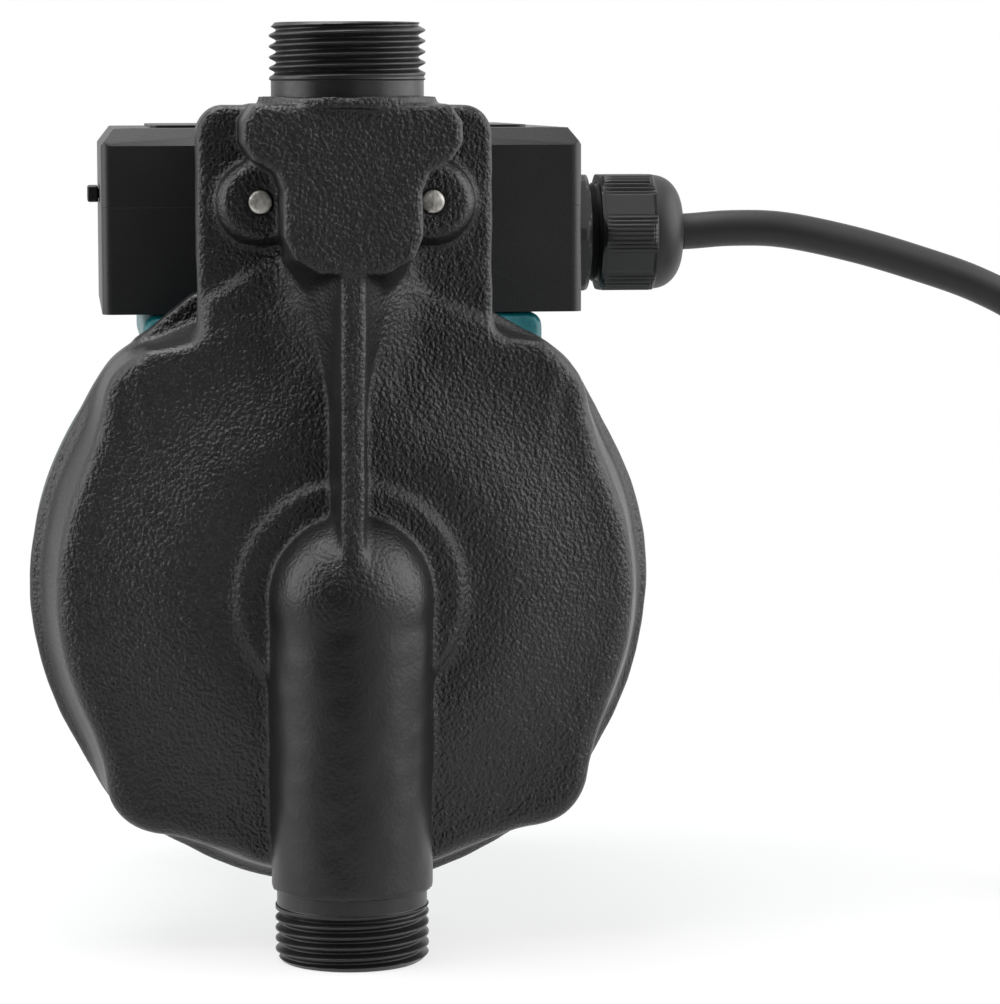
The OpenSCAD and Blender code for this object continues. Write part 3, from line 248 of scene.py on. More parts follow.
M = {
    "cast": cast_paint(),
    "thread": thread_paint(),
    "box": plain("box_satin", (0.0070, 0.0070, 0.0074), (0.0098, 0.0098, 0.0102), (0.32, 0.44), 0.0, 2600.0,
                 0.00004),
    "gland": plain("gland_nylon", (0.007, 0.007, 0.0075), (0.010, 0.010, 0.0105), (0.40, 0.52), 0.0, 1800.0,
                   0.00004),
    "cord": plain("cord_sheath", (0.006, 0.006, 0.0065), (0.010, 0.010, 0.0105), (0.42, 0.56), 0.0, 1500.0,
                  0.00004),
    "seal": plain("seal_rubber", (0.010, 0.010, 0.010), (0.016, 0.016, 0.016), (0.6, 0.75)),
    "screw": plain("screw_steel", (0.42, 0.41, 0.38), (0.66, 0.65, 0.61), (0.28, 0.42), 0.8, 1500.0,
                   0.00004, 160.0),
    "screw_end": plain("screw_end_steel", (0.20, 0.19, 0.17), (0.72, 0.71, 0.66), (0.28, 0.5), 0.6, 900.0,
                       0.00035, 700.0),
    "inner": plain("inner_steel", (0.42, 0.43, 0.44), (0.55, 0.56, 0.57), (0.25, 0.38), 1.0),
    "core": plain("core_steel", (0.16, 0.16, 0.17), (0.25, 0.25, 0.26), (0.4, 0.55), 1.0, 2000.0),
    "copper": plain("copper_wire", (0.55, 0.21, 0.09), (0.72, 0.33, 0.15), (0.28, 0.42), 1.0, 700.0, 0.0003),
    "brass": plain("turned_brass", (0.58, 0.40, 0.15), (0.74, 0.54, 0.24), (0.22, 0.36), 1.0),
    "ceramic": plain("white_ceramic", (0.72, 0.71, 0.67), (0.82, 0.81, 0.77), (0.12, 0.2)),
    "carbon": plain("grey_carbon", (0.035, 0.035, 0.04), (0.055, 0.055, 0.06), (0.4, 0.55)),
    "moulded": plain("natural_plastic", (0.66, 0.65, 0.59), (0.75, 0.74, 0.68), (0.32, 0.45)),
    "board": plain("board_lacquer", (0.02, 0.10, 0.045), (0.03, 0.15, 0.07), (0.22, 0.35)),
    "motor": plain("teal_paint", (0.0, 0.115, 0.135), (0.0, 0.145, 0.165), (0.3, 0.42), 0.0, 700.0, 0.00012),
}


# Mesh helpers
def add_mesh(name, verts, faces, material, body, smooth=True, sharp=None, stands_for=()):
    """A new mesh piece. Points are in millimetres."""
    me = bpy.data.meshes.new(name)
    me.from_pydata([tuple(float(c) * MM for c in v) for v in verts], [], [tuple(map(int, f)) for f in faces])
    me.validate()
    bm = bmesh.new()
    bm.from_mesh(me)
    bmesh.ops.recalc_face_normals(bm, faces=bm.faces)
    bm.to_mesh(me)
    bm.free()
    return dress(name, me, material, body, smooth, sharp, stands_for)


def dress(name, me, material, body, smooth=True, sharp=None, stands_for=()):
    me.materials.clear()
    me.materials.append(M[material])
    if smooth:
        me.polygons.foreach_set("use_smooth", [True] * len(me.polygons))
        if sharp is not None:
            me.set_sharp_from_angle(angle=math.radians(sharp))
    me.update()
    o = bpy.data.objects.new(name, me)
    scene.collection.objects.link(o)
    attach(o, body)
    if stands_for:
        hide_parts(*stands_for)
    return o


def turned(profile, segments=128):
    """Points and faces of a profile of (radius, height) turned about Z. A closed profile makes a ring."""
    n = len(profile)
    verts, faces = [], []
    for i in range(segments):
        a = 2 * math.pi * i / segments
        for r, z in profile:
            verts.append((r * math.cos(a), r * math.sin(a), z))
    for i in range(segments):
        j = (i + 1) % segments
        for k in range(n - 1):
            faces.append((i * n + k, j * n + k, j * n + k + 1, i * n + k + 1))
    return verts, faces, n


def closed_turn(profile, segments=128):
    """The same, with a face over each open end."""
    verts, faces, n = turned(profile, segments)
    if profile[0][0] > 1e-6:
        faces.append([i * n for i in range(segments)][::-1])
    if profile[-1][0] > 1e-6:
        faces.append([i * n + n - 1 for i in range(segments)])
    return verts, faces


def placed(verts, matrix):
    """The points moved by the matrix."""
    return [matrix @ Vector(v) for v in verts]


def along_x(x, y, z):
    """Turns a piece made about +Z so that it lies along +X from that point."""
    return Matrix.Translation((x, y, z)) @ Matrix.Rotation(math.radians(90), 4, "Y")


def along_y(x, y, z):
    """Turns a piece made about +Z so that it lies along +Y from that point."""
    return Matrix.Translation((x, y, z)) @ Matrix.Rotation(math.radians(-90), 4, "X")


def arc(cx, cy, r, a0, a1, n):
    """Points along an arc, its angles in degrees."""
    return [(cx + r * math.cos(math.radians(a0 + (a1 - a0) * i / n)),
             cy + r * math.sin(math.radians(a0 + (a1 - a0) * i / n))) for i in range(n + 1)]


# Cord, first of the pieces
COIL_X, COIL_Y = 184.0, 20.0
COIL_IN, COIL_PITCH, COIL_RISE = 25.5, 7.4, 7.3
BACK_TURN, END_TURN = 3.0, 5.0
PLUG_AT = np.array([174.0, -16.0, 19.3])
PLUG_TILT = 12.6

cord_route = [
    (GLAND_END, 73, 122), (78, 73, 122.6), (88, 73, 122.2), (101, 73, 119.5), (113, 73, 116),
    (125, 73, 111.8), (135, 73, 106.5), (143, 73, 99), (148.5, 72.5, 89.5), (151, 72, 78),
    (151, 71, 66), (149, 69, 54), (146, 66, 42), (143, 60.5, 30.5), (140, 53, 20),
    (138, 43.5, 11.5), (136.8, 33, 5.6), (COIL_X - 47.7, 26.8, CORD_R),
]
lead_route = [
    (COIL_X - 40.3, COIL_Y - 6.8, CORD_R + COIL_RISE), (143.5, 5, 11.2), (146, -2.5, 12.4),
    (150.5, -9, 13.9), (157, -13.5, 15.6), (165, -15.5, 17.3), tuple(PLUG_AT),
]


def coil_point(t):
    """The cord after t turns: inwards on the floor, then outwards on top of itself."""
    r = COIL_IN + COIL_PITCH * abs(t - BACK_TURN)
    climb = min(1.0, max(0.0, (t - BACK_TURN + 0.25) / 0.5))
    a = math.pi + 2 * math.pi * t
    return (COIL_X + r * math.cos(a), COIL_Y + r * math.sin(a), CORD_R + COIL_RISE * climb)


def smooth_through(points, per=6, first=None, last=None):
    """A Catmull-Rom line through the points."""
    p = [np.array(q, float) for q in points]
    a = 2 * p[0] - p[1] if first is None else p[0] - np.array(first) * np.linalg.norm(p[1] - p[0])
    b = 2 * p[-1] - p[-2] if last is None else p[-1] + np.array(last) * np.linalg.norm(p[-1] - p[-2])
    p = [a, *p, b]
    line = []
    for i in range(1, len(p) - 2):
        for s in range(per):
            u = s / per
            line.append(0.5 * (2 * p[i] + (p[i + 1] - p[i - 1]) * u
                               + (2 * p[i - 1] - 5 * p[i] + 4 * p[i + 1] - p[i + 2]) * u * u
                               + (3 * p[i] - p[i - 1] - 3 * p[i + 1] + p[i + 2]) * u ** 3))
    line.append(p[-2])
    return line


def make_cord():
    """One curve from the gland down to the floor, through the coil and up to the plug."""
    tilt = math.radians(PLUG_TILT)
    into_plug = np.array([math.cos(tilt), 0, math.sin(tilt)])
    line = smooth_through(cord_route, 6, (1, 0, 0), (0, -1, 0))
    per_turn = 56
    coil = [coil_point(i / per_turn) for i in range(int(END_TURN * per_turn) + 1)]
    line += [np.array(q) for q in coil]
    line += smooth_through(lead_route, 6, (0, -1, 0), into_plug)
    line.append(PLUG_AT + into_plug * 6)
    cu = bpy.data.curves.new("supply_cord", "CURVE")
    cu.dimensions = "3D"
    cu.bevel_depth = CORD_R * MM
    cu.bevel_resolution = 6
    cu.use_fill_caps = True
    cu.resolution_u = 1
    sp = cu.splines.new("POLY")
    sp.points.add(len(line) - 1)
    for p, q in zip(sp.points, line):
        p.co = (*(float(c) * MM for c in q), 1.0)
    sp.use_smooth = True
    cu.materials.append(M["cord"])
    o = bpy.data.objects.new("supply_cord", cu)
    scene.collection.objects.link(o)
    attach(o, "pump")
    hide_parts("cord", "cord_coil", "plug_lead")
    length = sum(np.linalg.norm(np.subtract(b, a)) for a, b in zip(line, line[1:]))
    return o, float(length)


def make_plug():
    """Moulded plug: ribbed strain relief, waisted grip with rows of ridges, round face and two pins."""
    tilt = Matrix.Rotation(math.radians(90 - PLUG_TILT), 4, "Y")
    at = Matrix.Translation(tuple(float(c) for c in PLUG_AT)) @ tilt
    relief, grip, face = 16.0, 20.0, 14.0
    prof = [(CORD_R + 0.05, 0.0), (4.3, 0.0), (4.7, 0.4)]
    for i in range(6):
        z = 0.6 + i * 2.5
        r = 4.75 + 1.5 * (z / relief)
        prof += [(r, z), (r + 0.1, z + 0.4), (r + 0.15, z + 1.3), (r - 0.55, z + 1.6), (r - 0.5, z + 2.2)]
    prof += [(6.4, relief - 0.2), (7.2, relief + 0.8), (7.9, relief + 3.0)]
    prof += [(8.0 + 2.2 * (i / 6) ** 1.6, relief + 3.2 + i * 1.1) for i in range(1, 7)]
    prof += [(11.6, relief + 12.0), (13.4, relief + 15.0), (14.9, relief + 18.0), (15.8, relief + 20.3)]
    top = relief + grip + face
    prof += arc(14.8, top - 1.2, 1.2, 0, 90, 6)
    prof += [(12.2, top), (11.9, top - 0.6), (0.0, top - 0.6)]
    verts, faces = closed_turn(prof, 96)
    flat = []
    for x, y, z in verts:
        if relief + 2 < z < relief + 13:
            a = math.atan2(y, x)
            w = math.sin((z - relief - 2) / 11 * math.pi)
            k = 1 - 0.10 * w * (0.5 + 0.5 * math.cos(2 * a))
            k += 0.02 * w * math.cos(z * 2 * math.pi / 2.2)
            x, y = x * k, y * k
        flat.append((x, y, z))
    body = add_mesh("plug_body", placed(flat, at), faces, "cord", "pump", sharp=50,
                    stands_for=("plug",))
    made = []
    for side in (-1, 1):
        prof = [(0.0, top - 5.5), (2.35, top - 5.5)] + [(2.35, top + 13.6)]
        prof += [(2.35, top + 17.6)] + arc(1.15, top + 17.8, 1.2, 0, 90, 6) + [(0.0, top + 19.0)]
        v, f = closed_turn(prof, 48)
        made.append(add_mesh("plug_pin_%s" % ("a" if side < 0 else "b"),
                             placed([(x, y + side * 9.5, z) for x, y, z in v], at), f, "screw", "pump",
                             sharp=40, stands_for=("plug_pins",) if side < 0 else ()))
    return [body, *made]


cord, cord_length = make_cord()
plug_pieces = make_plug()


# Castings, as distance fields
def grid(lo, hi, h):
    """Three axes' points, shaped so that a field is worked out over all of them."""
    ax = [np.arange(a, b + h / 2, h, dtype=np.float32) for a, b in zip(lo, hi)]
    return ax[0][:, None, None], ax[1][None, :, None], ax[2][None, None, :]


def join(a, b, k):
    """Smooth union: a fillet about as wide as k."""
    h = np.maximum(k - np.abs(a - b), 0) / k
    return np.minimum(a, b) - h * h * k * 0.25


def cut(a, b, k=0.4):
    """What is left of a outside b."""
    return -join(-a, b, k)


def both(a, b, k):
    """Where a and b overlap, with the edge between them rounded."""
    return -join(-a, -b, k)


def rect(x, z, hx, hz, r):
    """Signed distance to a rectangle of those half sizes with rounded corners."""
    qx, qz = np.abs(x) - (hx - r), np.abs(z) - (hz - r)
    return np.minimum(np.maximum(qx, qz), 0) + np.hypot(np.maximum(qx, 0), np.maximum(qz, 0)) - r


def polygon(x, z, pts):
    """Signed distance to a polygon, negative inside."""
    x, z = np.broadcast_arrays(x, z)
    d = np.full(x.shape, 1e9, np.float32)
    inside = np.zeros(x.shape, bool)
    for (ax, az), (bx, bz) in zip(pts, pts[1:] + pts[:1]):
        ex, ez = bx - ax, bz - az
        wx, wz = x - ax, z - az
        t = np.clip((wx * ex + wz * ez) / (ex * ex + ez * ez), 0, 1)
        d = np.minimum(d, np.hypot(wx - ex * t, wz - ez * t))
        if az != bz:
            inside ^= ((az > z) != (bz > z)) & (x < ex * (z - az) / ez + ax)
    return np.where(inside, -d, d).astype(np.float32)


def slab(d2, y, y0, y1, r):
    """An outline's field given depth from y0 to y1, its edges rounded by r."""
    w = np.abs(y - (y0 + y1) / 2) - (y1 - y0) / 2 + r
    d = d2 + r
    return np.minimum(np.maximum(d, w), 0) + np.hypot(np.maximum(d, 0), np.maximum(w, 0)) - r


def rod(u, v, w, r, w0, w1):
    """A round bar along w."""
    return np.maximum(np.hypot(u, v) - r, np.abs(w - (w0 + w1) / 2) - (w1 - w0) / 2)


def rise(v, a, b):
    """A smooth step from 0 at a to 1 at b."""
    t = np.clip((v - a) / (b - a), 0, 1)
    return t * t * (3 - 2 * t)


def waves(x, y, z, size, seed, count=10):
    """A smooth uneven field of about that wavelength, between -1 and 1."""
    rng = np.random.default_rng(seed)
    total = 0.0
    for _ in range(count):
        k = unit(rng.normal(size=3)) * 2 * math.pi / (size * rng.uniform(0.75, 1.35))
        total = total + np.sin((k[0] * x + k[1] * y + k[2] * z + rng.uniform(0, 6.28)).astype(np.float32))
    return total / math.sqrt(count)


def mesh_of(field, lo, h):
    """Meshes a distance field. Returns points in millimetres and faces."""
    g = openvdb.FloatGrid()
    g.background = 3.0
    g.copyFromArray(np.clip(field, -3, 3).astype(np.float32))
    points, tris, quads = g.convertToPolygons(isovalue=0.0, adaptivity=0.0)
    return points * h + np.array(lo), tris, quads


def field_piece(name, field, lo, h, material, body, stands_for, grain=None):
    """A casting meshed from its distance field, with grain added along its normals."""
    pts, tris, quads = mesh_of(field, lo, h)
    me = bpy.data.meshes.new(name)
    loops = np.concatenate([quads[:, ::-1].ravel(), tris[:, ::-1].ravel()]).astype(np.int32)
    starts = np.concatenate([np.arange(len(quads)) * 4, len(quads) * 4 + np.arange(len(tris)) * 3]).astype(np.int32)
    me.vertices.add(len(pts))
    me.loops.add(len(loops))
    me.polygons.add(len(starts))
    me.vertices.foreach_set("co", (pts * MM).astype(np.float32).ravel())
    me.loops.foreach_set("vertex_index", loops)
    me.polygons.foreach_set("loop_start", starts)
    me.update(calc_edges=True)
    me.validate()
    if grain is not None:
        normals = np.zeros(len(pts) * 3, np.float32)
        me.vertices.foreach_get("normal", normals)
        pts = pts + normals.reshape(-1, 3) * grain(pts, normals.reshape(-1, 3))[:, None]
        me.vertices.foreach_set("co", (pts * MM).astype(np.float32).ravel())
        me.update()
    return dress(name, me, material, body, stands_for=stands_for)


SHOULDER = [
    (-34.0, 84.0), (-36.5, 100.0), (-33.9, 104.3), (-28.8, 104.6), (-26.0, 105.6), (-24.2, 107.8), (-23.7, 113.2),
    (-13.2, 119.8), (0.0, 122.0), (10.6, 116.0), (14.6, 113.4), (21.3, 110.3), (24.6, 109.0), (25.6, 107.3),
    (27.6, 105.9), (34.1, 105.4), (37.0, 101.0), (34.0, 84.0),
]
BLOCK = [
    (-16.1, 146.0), (16.1, 146.0), (18.0, 143.4), (18.0, 140.0), (16.2, 137.3), (12.4, 135.2), (11.2, 132.0),
    (11.3, 124.6), (9.6, 120.6), (5.6, 118.3), (-5.6, 118.3), (-9.6, 120.6), (-11.3, 124.6), (-11.2, 132.0),
    (-12.4, 135.2), (-16.2, 137.3), (-18.0, 140.0), (-18.0, 143.4),
]


BUMP = [(-22.0, 52.0), (-26.0, 50.4), (-30.0, 47.2), (-35.5, 42.5), (-30.0, 38.0), (-20.0, 45.0)]


# Head casting, in millimetres: places along Y, heights, and distances from the motor axis or the port axis
WALL_FRONT, JOINT_FRONT, JOINT_FACE = 5.0, 22, 29
HEAD_R, HEAD_DRAFT = 49.4, 0.2
LUG_HALF, LUG_CORNER = 41.6, 9.3
FACE_FLAT_R, FACE_EDGE_R = 25.0, 49.0
PLATE_HALF_X, PLATE_HALF_Z, PLATE_MID_Z, PLATE_CORNER = 25.3, 43.1, 103.1, 5.0
RING_R, RING_STEP = 20.5, 1.5
BLOCK_FRONT, BLOCK_LOW = -13.5, 118
PAD_R, PAD_FRONT = 7.3, 2.6
RIB_FRONT, RIB_HALF, RIB_DRAFT = -12.4, 2.05, 0.08
THROAT_R, THROAT_BORE_R, THROAT_BACK, THROAT_LOW, THROAT_RISE = 8.6, 6.0, 15, 95, 35
STEP_R, STEP_LOW, STEP_TOP = 15.0, 145.6, 147.55
VOLUTE_R, VOLUTE_GROWTH, VOLUTE_Y, VOLUTE_HALF = 33, 6.5, 17, 5
RECESS_R = 41.5
GRAIN_HEIGHT = 0.013


def head_field(x, y, z):
    """The pump head: face and lugs, shoulder, neck plate, flange, block, pads, rib, pipe, and its ways."""
    zc = z - AXIS_H
    rho = np.hypot(x, zc)
    behind = np.clip(y - 5, 0, 17)
    wall = rho - (HEAD_R + behind * HEAD_DRAFT)
    lugs = rect(x, zc, LUG_HALF, LUG_HALF, LUG_CORNER) - behind * 0.03
    outline = join(wall, lugs, 5.0)
    front = (WALL_FRONT * rise(rho, FACE_FLAT_R, FACE_EDGE_R) - y) * 0.93
    d = both(outline, front, 3.2)
    d = join(d, slab(polygon(x, z, SHOULDER), y, WALL_FRONT, 14, 1.4), 2.4)
    plate = rect(x, z - PLATE_MID_Z, PLATE_HALF_X, PLATE_HALF_Z, PLATE_CORNER)
    d = join(d, slab(plate, y, 6.5, 14, 1.5), 2.0)
    d = join(d, slab(rho - FLANGE_R, y, JOINT_FRONT, 29.6, 0.9), 3.0)
    d = join(d, slab(polygon(x, zc, BUMP), y, 20.2, 29.6, 0.9), 1.5)
    # ring round the elbow
    d = join(d, both((rho - RING_R + np.clip(-y, 0, 1.5)) * 0.7, -RING_STEP - y, 0.5), 0.6)
    # outlet block, pads and rib
    d = join(d, slab(polygon(x, z, BLOCK) - 0.35, y, BLOCK_FRONT, 12, 1.5), 1.0)
    for side in (-1, 1):
        ring = np.hypot(x - side * NECK_SCREW_X, z - NECK_SCREW_Z) - PAD_R + np.clip(4.8 - y, 0, 2.2) * 0.6
        d = join(d, both(ring * 0.9, PAD_FRONT - y, 0.8) + np.clip(y - 12, 0, 9) * 3, 1.6)
    half = RIB_HALF + np.clip(y - RIB_FRONT, 0, 20) * RIB_DRAFT
    sides = np.abs(x + 0.25 * rise(-z, -118, -80)) - half
    rib = both(both(sides, RIB_FRONT - y, 1.6), np.maximum(z - 121, 66 - z), 0.5)
    d = join(d, np.maximum(rib, y - 8), 1.0)
    # throat wall behind, outlet step
    t = np.clip((z - THROAT_LOW) / THROAT_RISE, 0, 1)
    throat = np.hypot(x, (y - THROAT_BACK * (1 - t)) * 0.92) - THROAT_R
    d = join(d, np.maximum(throat, np.maximum(z - BLOCK_LOW, 100 - z)), 6.5)
    d = join(d, np.maximum(np.hypot(x, y) - STEP_R, np.maximum(z - STEP_TOP, STEP_LOW - z)), 0.7)
    # suction pipe and elbow
    along = np.clip(z, 4, AXIS_H)
    pipe = np.hypot(np.hypot(x, y), z - along) - (PIPE_R + 0.1 * rise(z, 30, 60))
    into = np.sqrt(x * x + zc * zc + np.minimum(y, 0) ** 2) - ELBOW_R
    into = np.maximum(into, y - 9)
    pipe = both(join(pipe, into, 1.0), 12.45 - z, 0.4)
    d = join(d, pipe, 1.3)
    d = d + 0.09 * waves(x, y, z, 16.0, 3) + 0.04 * waves(x, y, z, 6.0, 4)
    # ways and hollows
    d = cut(d, np.hypot(np.hypot(x, y), z - np.clip(z, -5, AXIS_H)) - SUCTION_R, 0.3)
    d = cut(d, rod(x, zc, y, SUCTION_R, 0, 13), 0.3)
    d = cut(d, rod(x, zc, y, 12.0, 9.5, 13), 0.3)
    angle = np.mod(np.arctan2(x, zc), 2 * np.pi)
    spiral = rho - (VOLUTE_R + VOLUTE_GROWTH * angle / (2 * np.pi))
    d = cut(d, np.maximum(spiral, np.abs(y - VOLUTE_Y) - VOLUTE_HALF), 0.3)
    d = cut(d, rod(x, zc, y, RECESS_R, 21.5, 40), 0.3)
    way = np.hypot(x, (y - THROAT_BACK * (1 - t)) * 0.92) - THROAT_BORE_R
    d = cut(d, np.maximum(way, np.maximum(z - 130, 93 - z)), 0.3)
    d = cut(d, rod(x, y, z, OUTLET_R, 128, 170), 0.3)
    for side in (-1, 1):
        d = cut(d, rod(x - side * NECK_SCREW_X, z - NECK_SCREW_Z, y, 2.05, -5, 20), 0.4)
        for up in (-1, 1):
            d = cut(d, rod(x - side * BOLT_PITCH, zc - up * BOLT_PITCH, y, 2.55, 17, 40), 0.3)
    return np.maximum(d, y - JOINT_FACE)


def pebbles(pts, normals):
    """Cast grain on the painted faces, in millimetres: strong where the face looks forward."""
    x, y, z = (pts[:, i].astype(np.float32) for i in range(3))
    facing = 0.35 + 0.65 * np.clip((np.abs(normals[:, 1]) - 0.35) / 0.6, 0, 1)
    outer = (np.hypot(x, y) > 9.8) | (z < 120)
    g = 0.5 * waves(x, y, z, 2.1, 11, 14) + 0.5 * waves(x, y, z, 1.4, 12, 14)
    inner = (y > 10) & (np.hypot(x, z - AXIS_H) < 43)
    return np.where(inner | ~outer, 0, GRAIN_HEIGHT * facing * g)


def in_slices(shape_field, lo, hi, h, depth=24):
    """A field over the whole grid, worked out a few layers at a time to spare memory."""
    x, y, z = grid(lo, hi, h)
    parts = []
    for i in range(0, x.shape[0], depth):
        layer = x[i:i + depth]
        parts.append(np.broadcast_to(shape_field(layer, y, z), (len(layer), y.shape[1], z.shape[2]))
                     .astype(np.float32))
    return np.concatenate(parts, axis=0)


def make_head():
    """The head casting, in one mesh."""
    h = 0.5
    lo, hi = (-60, -16.5, 9), (60, 31, 149.5)
    field = in_slices(head_field, lo, hi, h)
    field_piece("cast_head", field, lo, h, "cast", "pump", ("pump_housing",), pebbles)


def thread_piece(name, end, way, bore):
    """A threaded port end with its collar: right-hand helix, run-out, chamfer, end face and bore."""
    pitch, length, collar = THREAD_PITCH, THREAD_L, THREAD_L + COLLAR_L
    crest, depth = PORT_R, 1.16
    around, rows = ((192, 210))
    verts = []
    zs = np.linspace(0, collar, rows)
    for i in range(around):
        a = 2 * math.pi * i / around
        for s in zs:
            turn = (s * way + end) / pitch - a / (2 * math.pi)
            f = turn - math.floor(turn)
            tri = 1 - abs(2 * f - 1)
            shape = min(1.0, max(0.0, tri * 1.34 - 0.17))
            shape = shape * shape * (3 - 2 * shape) * 0.35 + shape * 0.65
            out = min(1.0, max(0.0, (s - (length - 1.4)) / 1.3))
            r = crest - depth * (1 - shape) * (1 - out)
            r = min(r, crest - 1.0 + s * 0.95, crest - 0.3 * rise(s, length - 0.1, length + 0.15))
            verts.append((r * math.cos(a), r * math.sin(a), end + way * s))
        inner = [(12.05, 0.0), (bore + 0.35, 0.0), (bore, 0.35), (bore, collar)]
        for r, s in inner:
            verts.append((r * math.cos(a), r * math.sin(a), end + way * s))
    n = rows + len(inner)
    order = [*range(rows - 1, -1, -1), *range(rows, n)]
    faces = []
    for i in range(around):
        j = (i + 1) % around
        for a, b in zip(order, order[1:] + order[:1]):
            faces.append((i * n + a, j * n + a, j * n + b, i * n + b))
    return add_mesh(name, verts, faces, "thread", "pump", sharp=50)


make_head()
thread_piece("inlet_thread_form", 0.0, 1, SUCTION_R)
thread_piece("outlet_thread_form", SPAN, -1, OUTLET_R)


# Motor casting
def motor_field(x, y, z):
    """The motor casting: drum, flange, vent boss, end ribs, table and webs, bolt seats."""
    zc = z - AXIS_H
    rho = np.hypot(x, zc)
    d = slab(rho - DRUM_R, y, 20, 112.5, 6.5)
    flange = join(rho - 54.4, rect(x, zc, 41.4, 41.4, 9.2), 2.5)
    d = join(d, slab(flange, y, 29, 35.5, 0.8), 3.5)
    d = join(d, slab(rho - 13.0, y, 100, 114.0, 0.8), 1.5)
    for i in range(6):
        a = math.radians(30 + 60 * i)
        rib = rect(x * math.cos(a) + zc * math.sin(a) - 24.5, -x * math.sin(a) + zc * math.cos(a), 9.5, 1.2, 1.1)
        d = join(d, slab(rib, y, 100, 113.3, 0.6), 1.4)
    table = rect(x - BOX_X, z - 105.0, 35.8, 4.0, 2.6)
    d = join(d, slab(table, y, 37.1, 103.0, 1.5), 3.0)
    for yy in (46.0, 95.0):
        web = np.maximum(rect(x - BOX_X, z - 97, 29.0, 8.0, 1.0), np.abs(y - yy - 2) - 2)
        d = join(d, web, 3.0)
    for side in (-1, 1):
        for up in (-1, 1):
            seat = rod(x - side * BOLT_PITCH, zc - up * BOLT_PITCH, y, 6.4, 20, 35.6)
            d = join(d, seat, 0.8)
    d = d + 0.05 * waves(x, y, z, 18.0, 7)
    d = cut(d, rod(x, zc, y, DRUM_BORE_R, 20, 108), 0.3)
    d = np.maximum(d, JOINT_FACE - y)
    for side in (-1, 1):
        for up in (-1, 1):
            d = cut(d, rod(x - side * BOLT_PITCH, zc - up * BOLT_PITCH, y, 2.6, 20, 40), 0.3)
    d = cut(d, rod(x, zc, y, 7.05, 100, 120), 0.4)
    d = cut(d, rod(x, y - 52, z, 6.0, AXIS_H, 112), 0.3)
    return d


def make_motor():
    """The motor casting, in one mesh."""
    h = 0.7
    lo, hi = (-58, 26, 6), (58, 116, 111.5)
    field = in_slices(motor_field, lo, hi, h)
    field_piece("motor_casting", field, lo, h, "motor", "pump", ("motor_housing",))


make_motor()


# Solids kept from the frame, edges eased
def eased(node, name, material, body="pump", width=0.35, segments=2, angle=35):
    """A copy of a CAD node's mesh with its sharp edges rounded."""
    me = nodes[node].data.copy()
    bm = bmesh.new()
    bm.from_mesh(me)
    bmesh.ops.remove_doubles(bm, verts=bm.verts, dist=1e-6)
    bmesh.ops.dissolve_limit(bm, angle_limit=math.radians(0.5), verts=bm.verts, edges=bm.edges)
    bmesh.ops.recalc_face_normals(bm, faces=bm.faces)
    bm.to_mesh(me)
    bm.free()
    o = dress(name, me, material, body, smooth=True, sharp=30, stands_for=(node,))
    mod = o.modifiers.new("ease", "BEVEL")
    mod.width = width * MM
    mod.segments = segments
    mod.limit_method = "ANGLE"
    mod.angle_limit = math.radians(angle)
    mod.harden_normals = True
    mod.use_clamp_overlap = True
    return o


eased("terminal_box_base", "box_base", "box", width=0.5, segments=3)
eased("terminal_box_cover", "box_cover", "box", width=0.5, segments=3)
eased("selector_knob", "selector_slider", "box", body="selector", width=0.4, segments=3)


# Cable gland
def hexagon(af, chamfer, length, ribs, rib_depth, rib_from, rib_to):
    """A hexagonal sleeve about Z with rounded corners, end chamfers and fine ribs beside each corner."""
    segments = 360
    r_corner = af / 2 / math.cos(math.pi / 6)
    stations = [0.0, chamfer * 0.35, chamfer]
    stations += list(np.linspace(rib_from - 0.4, rib_to + 0.4, 12))
    stations += [length - chamfer, length - chamfer * 0.35, length]
    verts, n = [], len(stations)
    for i in range(segments):
        a = 2 * math.pi * i / segments
        m = (a + math.pi / 6) % (math.pi / 3) - math.pi / 6
        flat = af / 2 / math.cos(m)
        # round the corners
        r0 = min(flat, r_corner - 0.55) if abs(m) > math.radians(24) else flat
        for s in stations:
            r = r0
            edge = min(s, length - s)
            if edge < chamfer:
                r = min(r, r_corner - 0.7 - (chamfer - edge) * 1.1)
            if ribs and rib_from <= s <= rib_to:
                beside = min(1.0, max(0.0, (abs(math.degrees(m)) - 11.0) / 3.0))
                r -= rib_depth * beside * (0.5 + 0.5 * math.cos(ribs * a)) ** 2
            verts.append((r * math.cos(a), r * math.sin(a), s))
    faces = []
    for i in range(segments):
        j = (i + 1) % segments
        for k in range(n - 1):
            faces.append((i * n + k, j * n + k, j * n + k + 1, i * n + k + 1))
    return verts, faces, segments, n


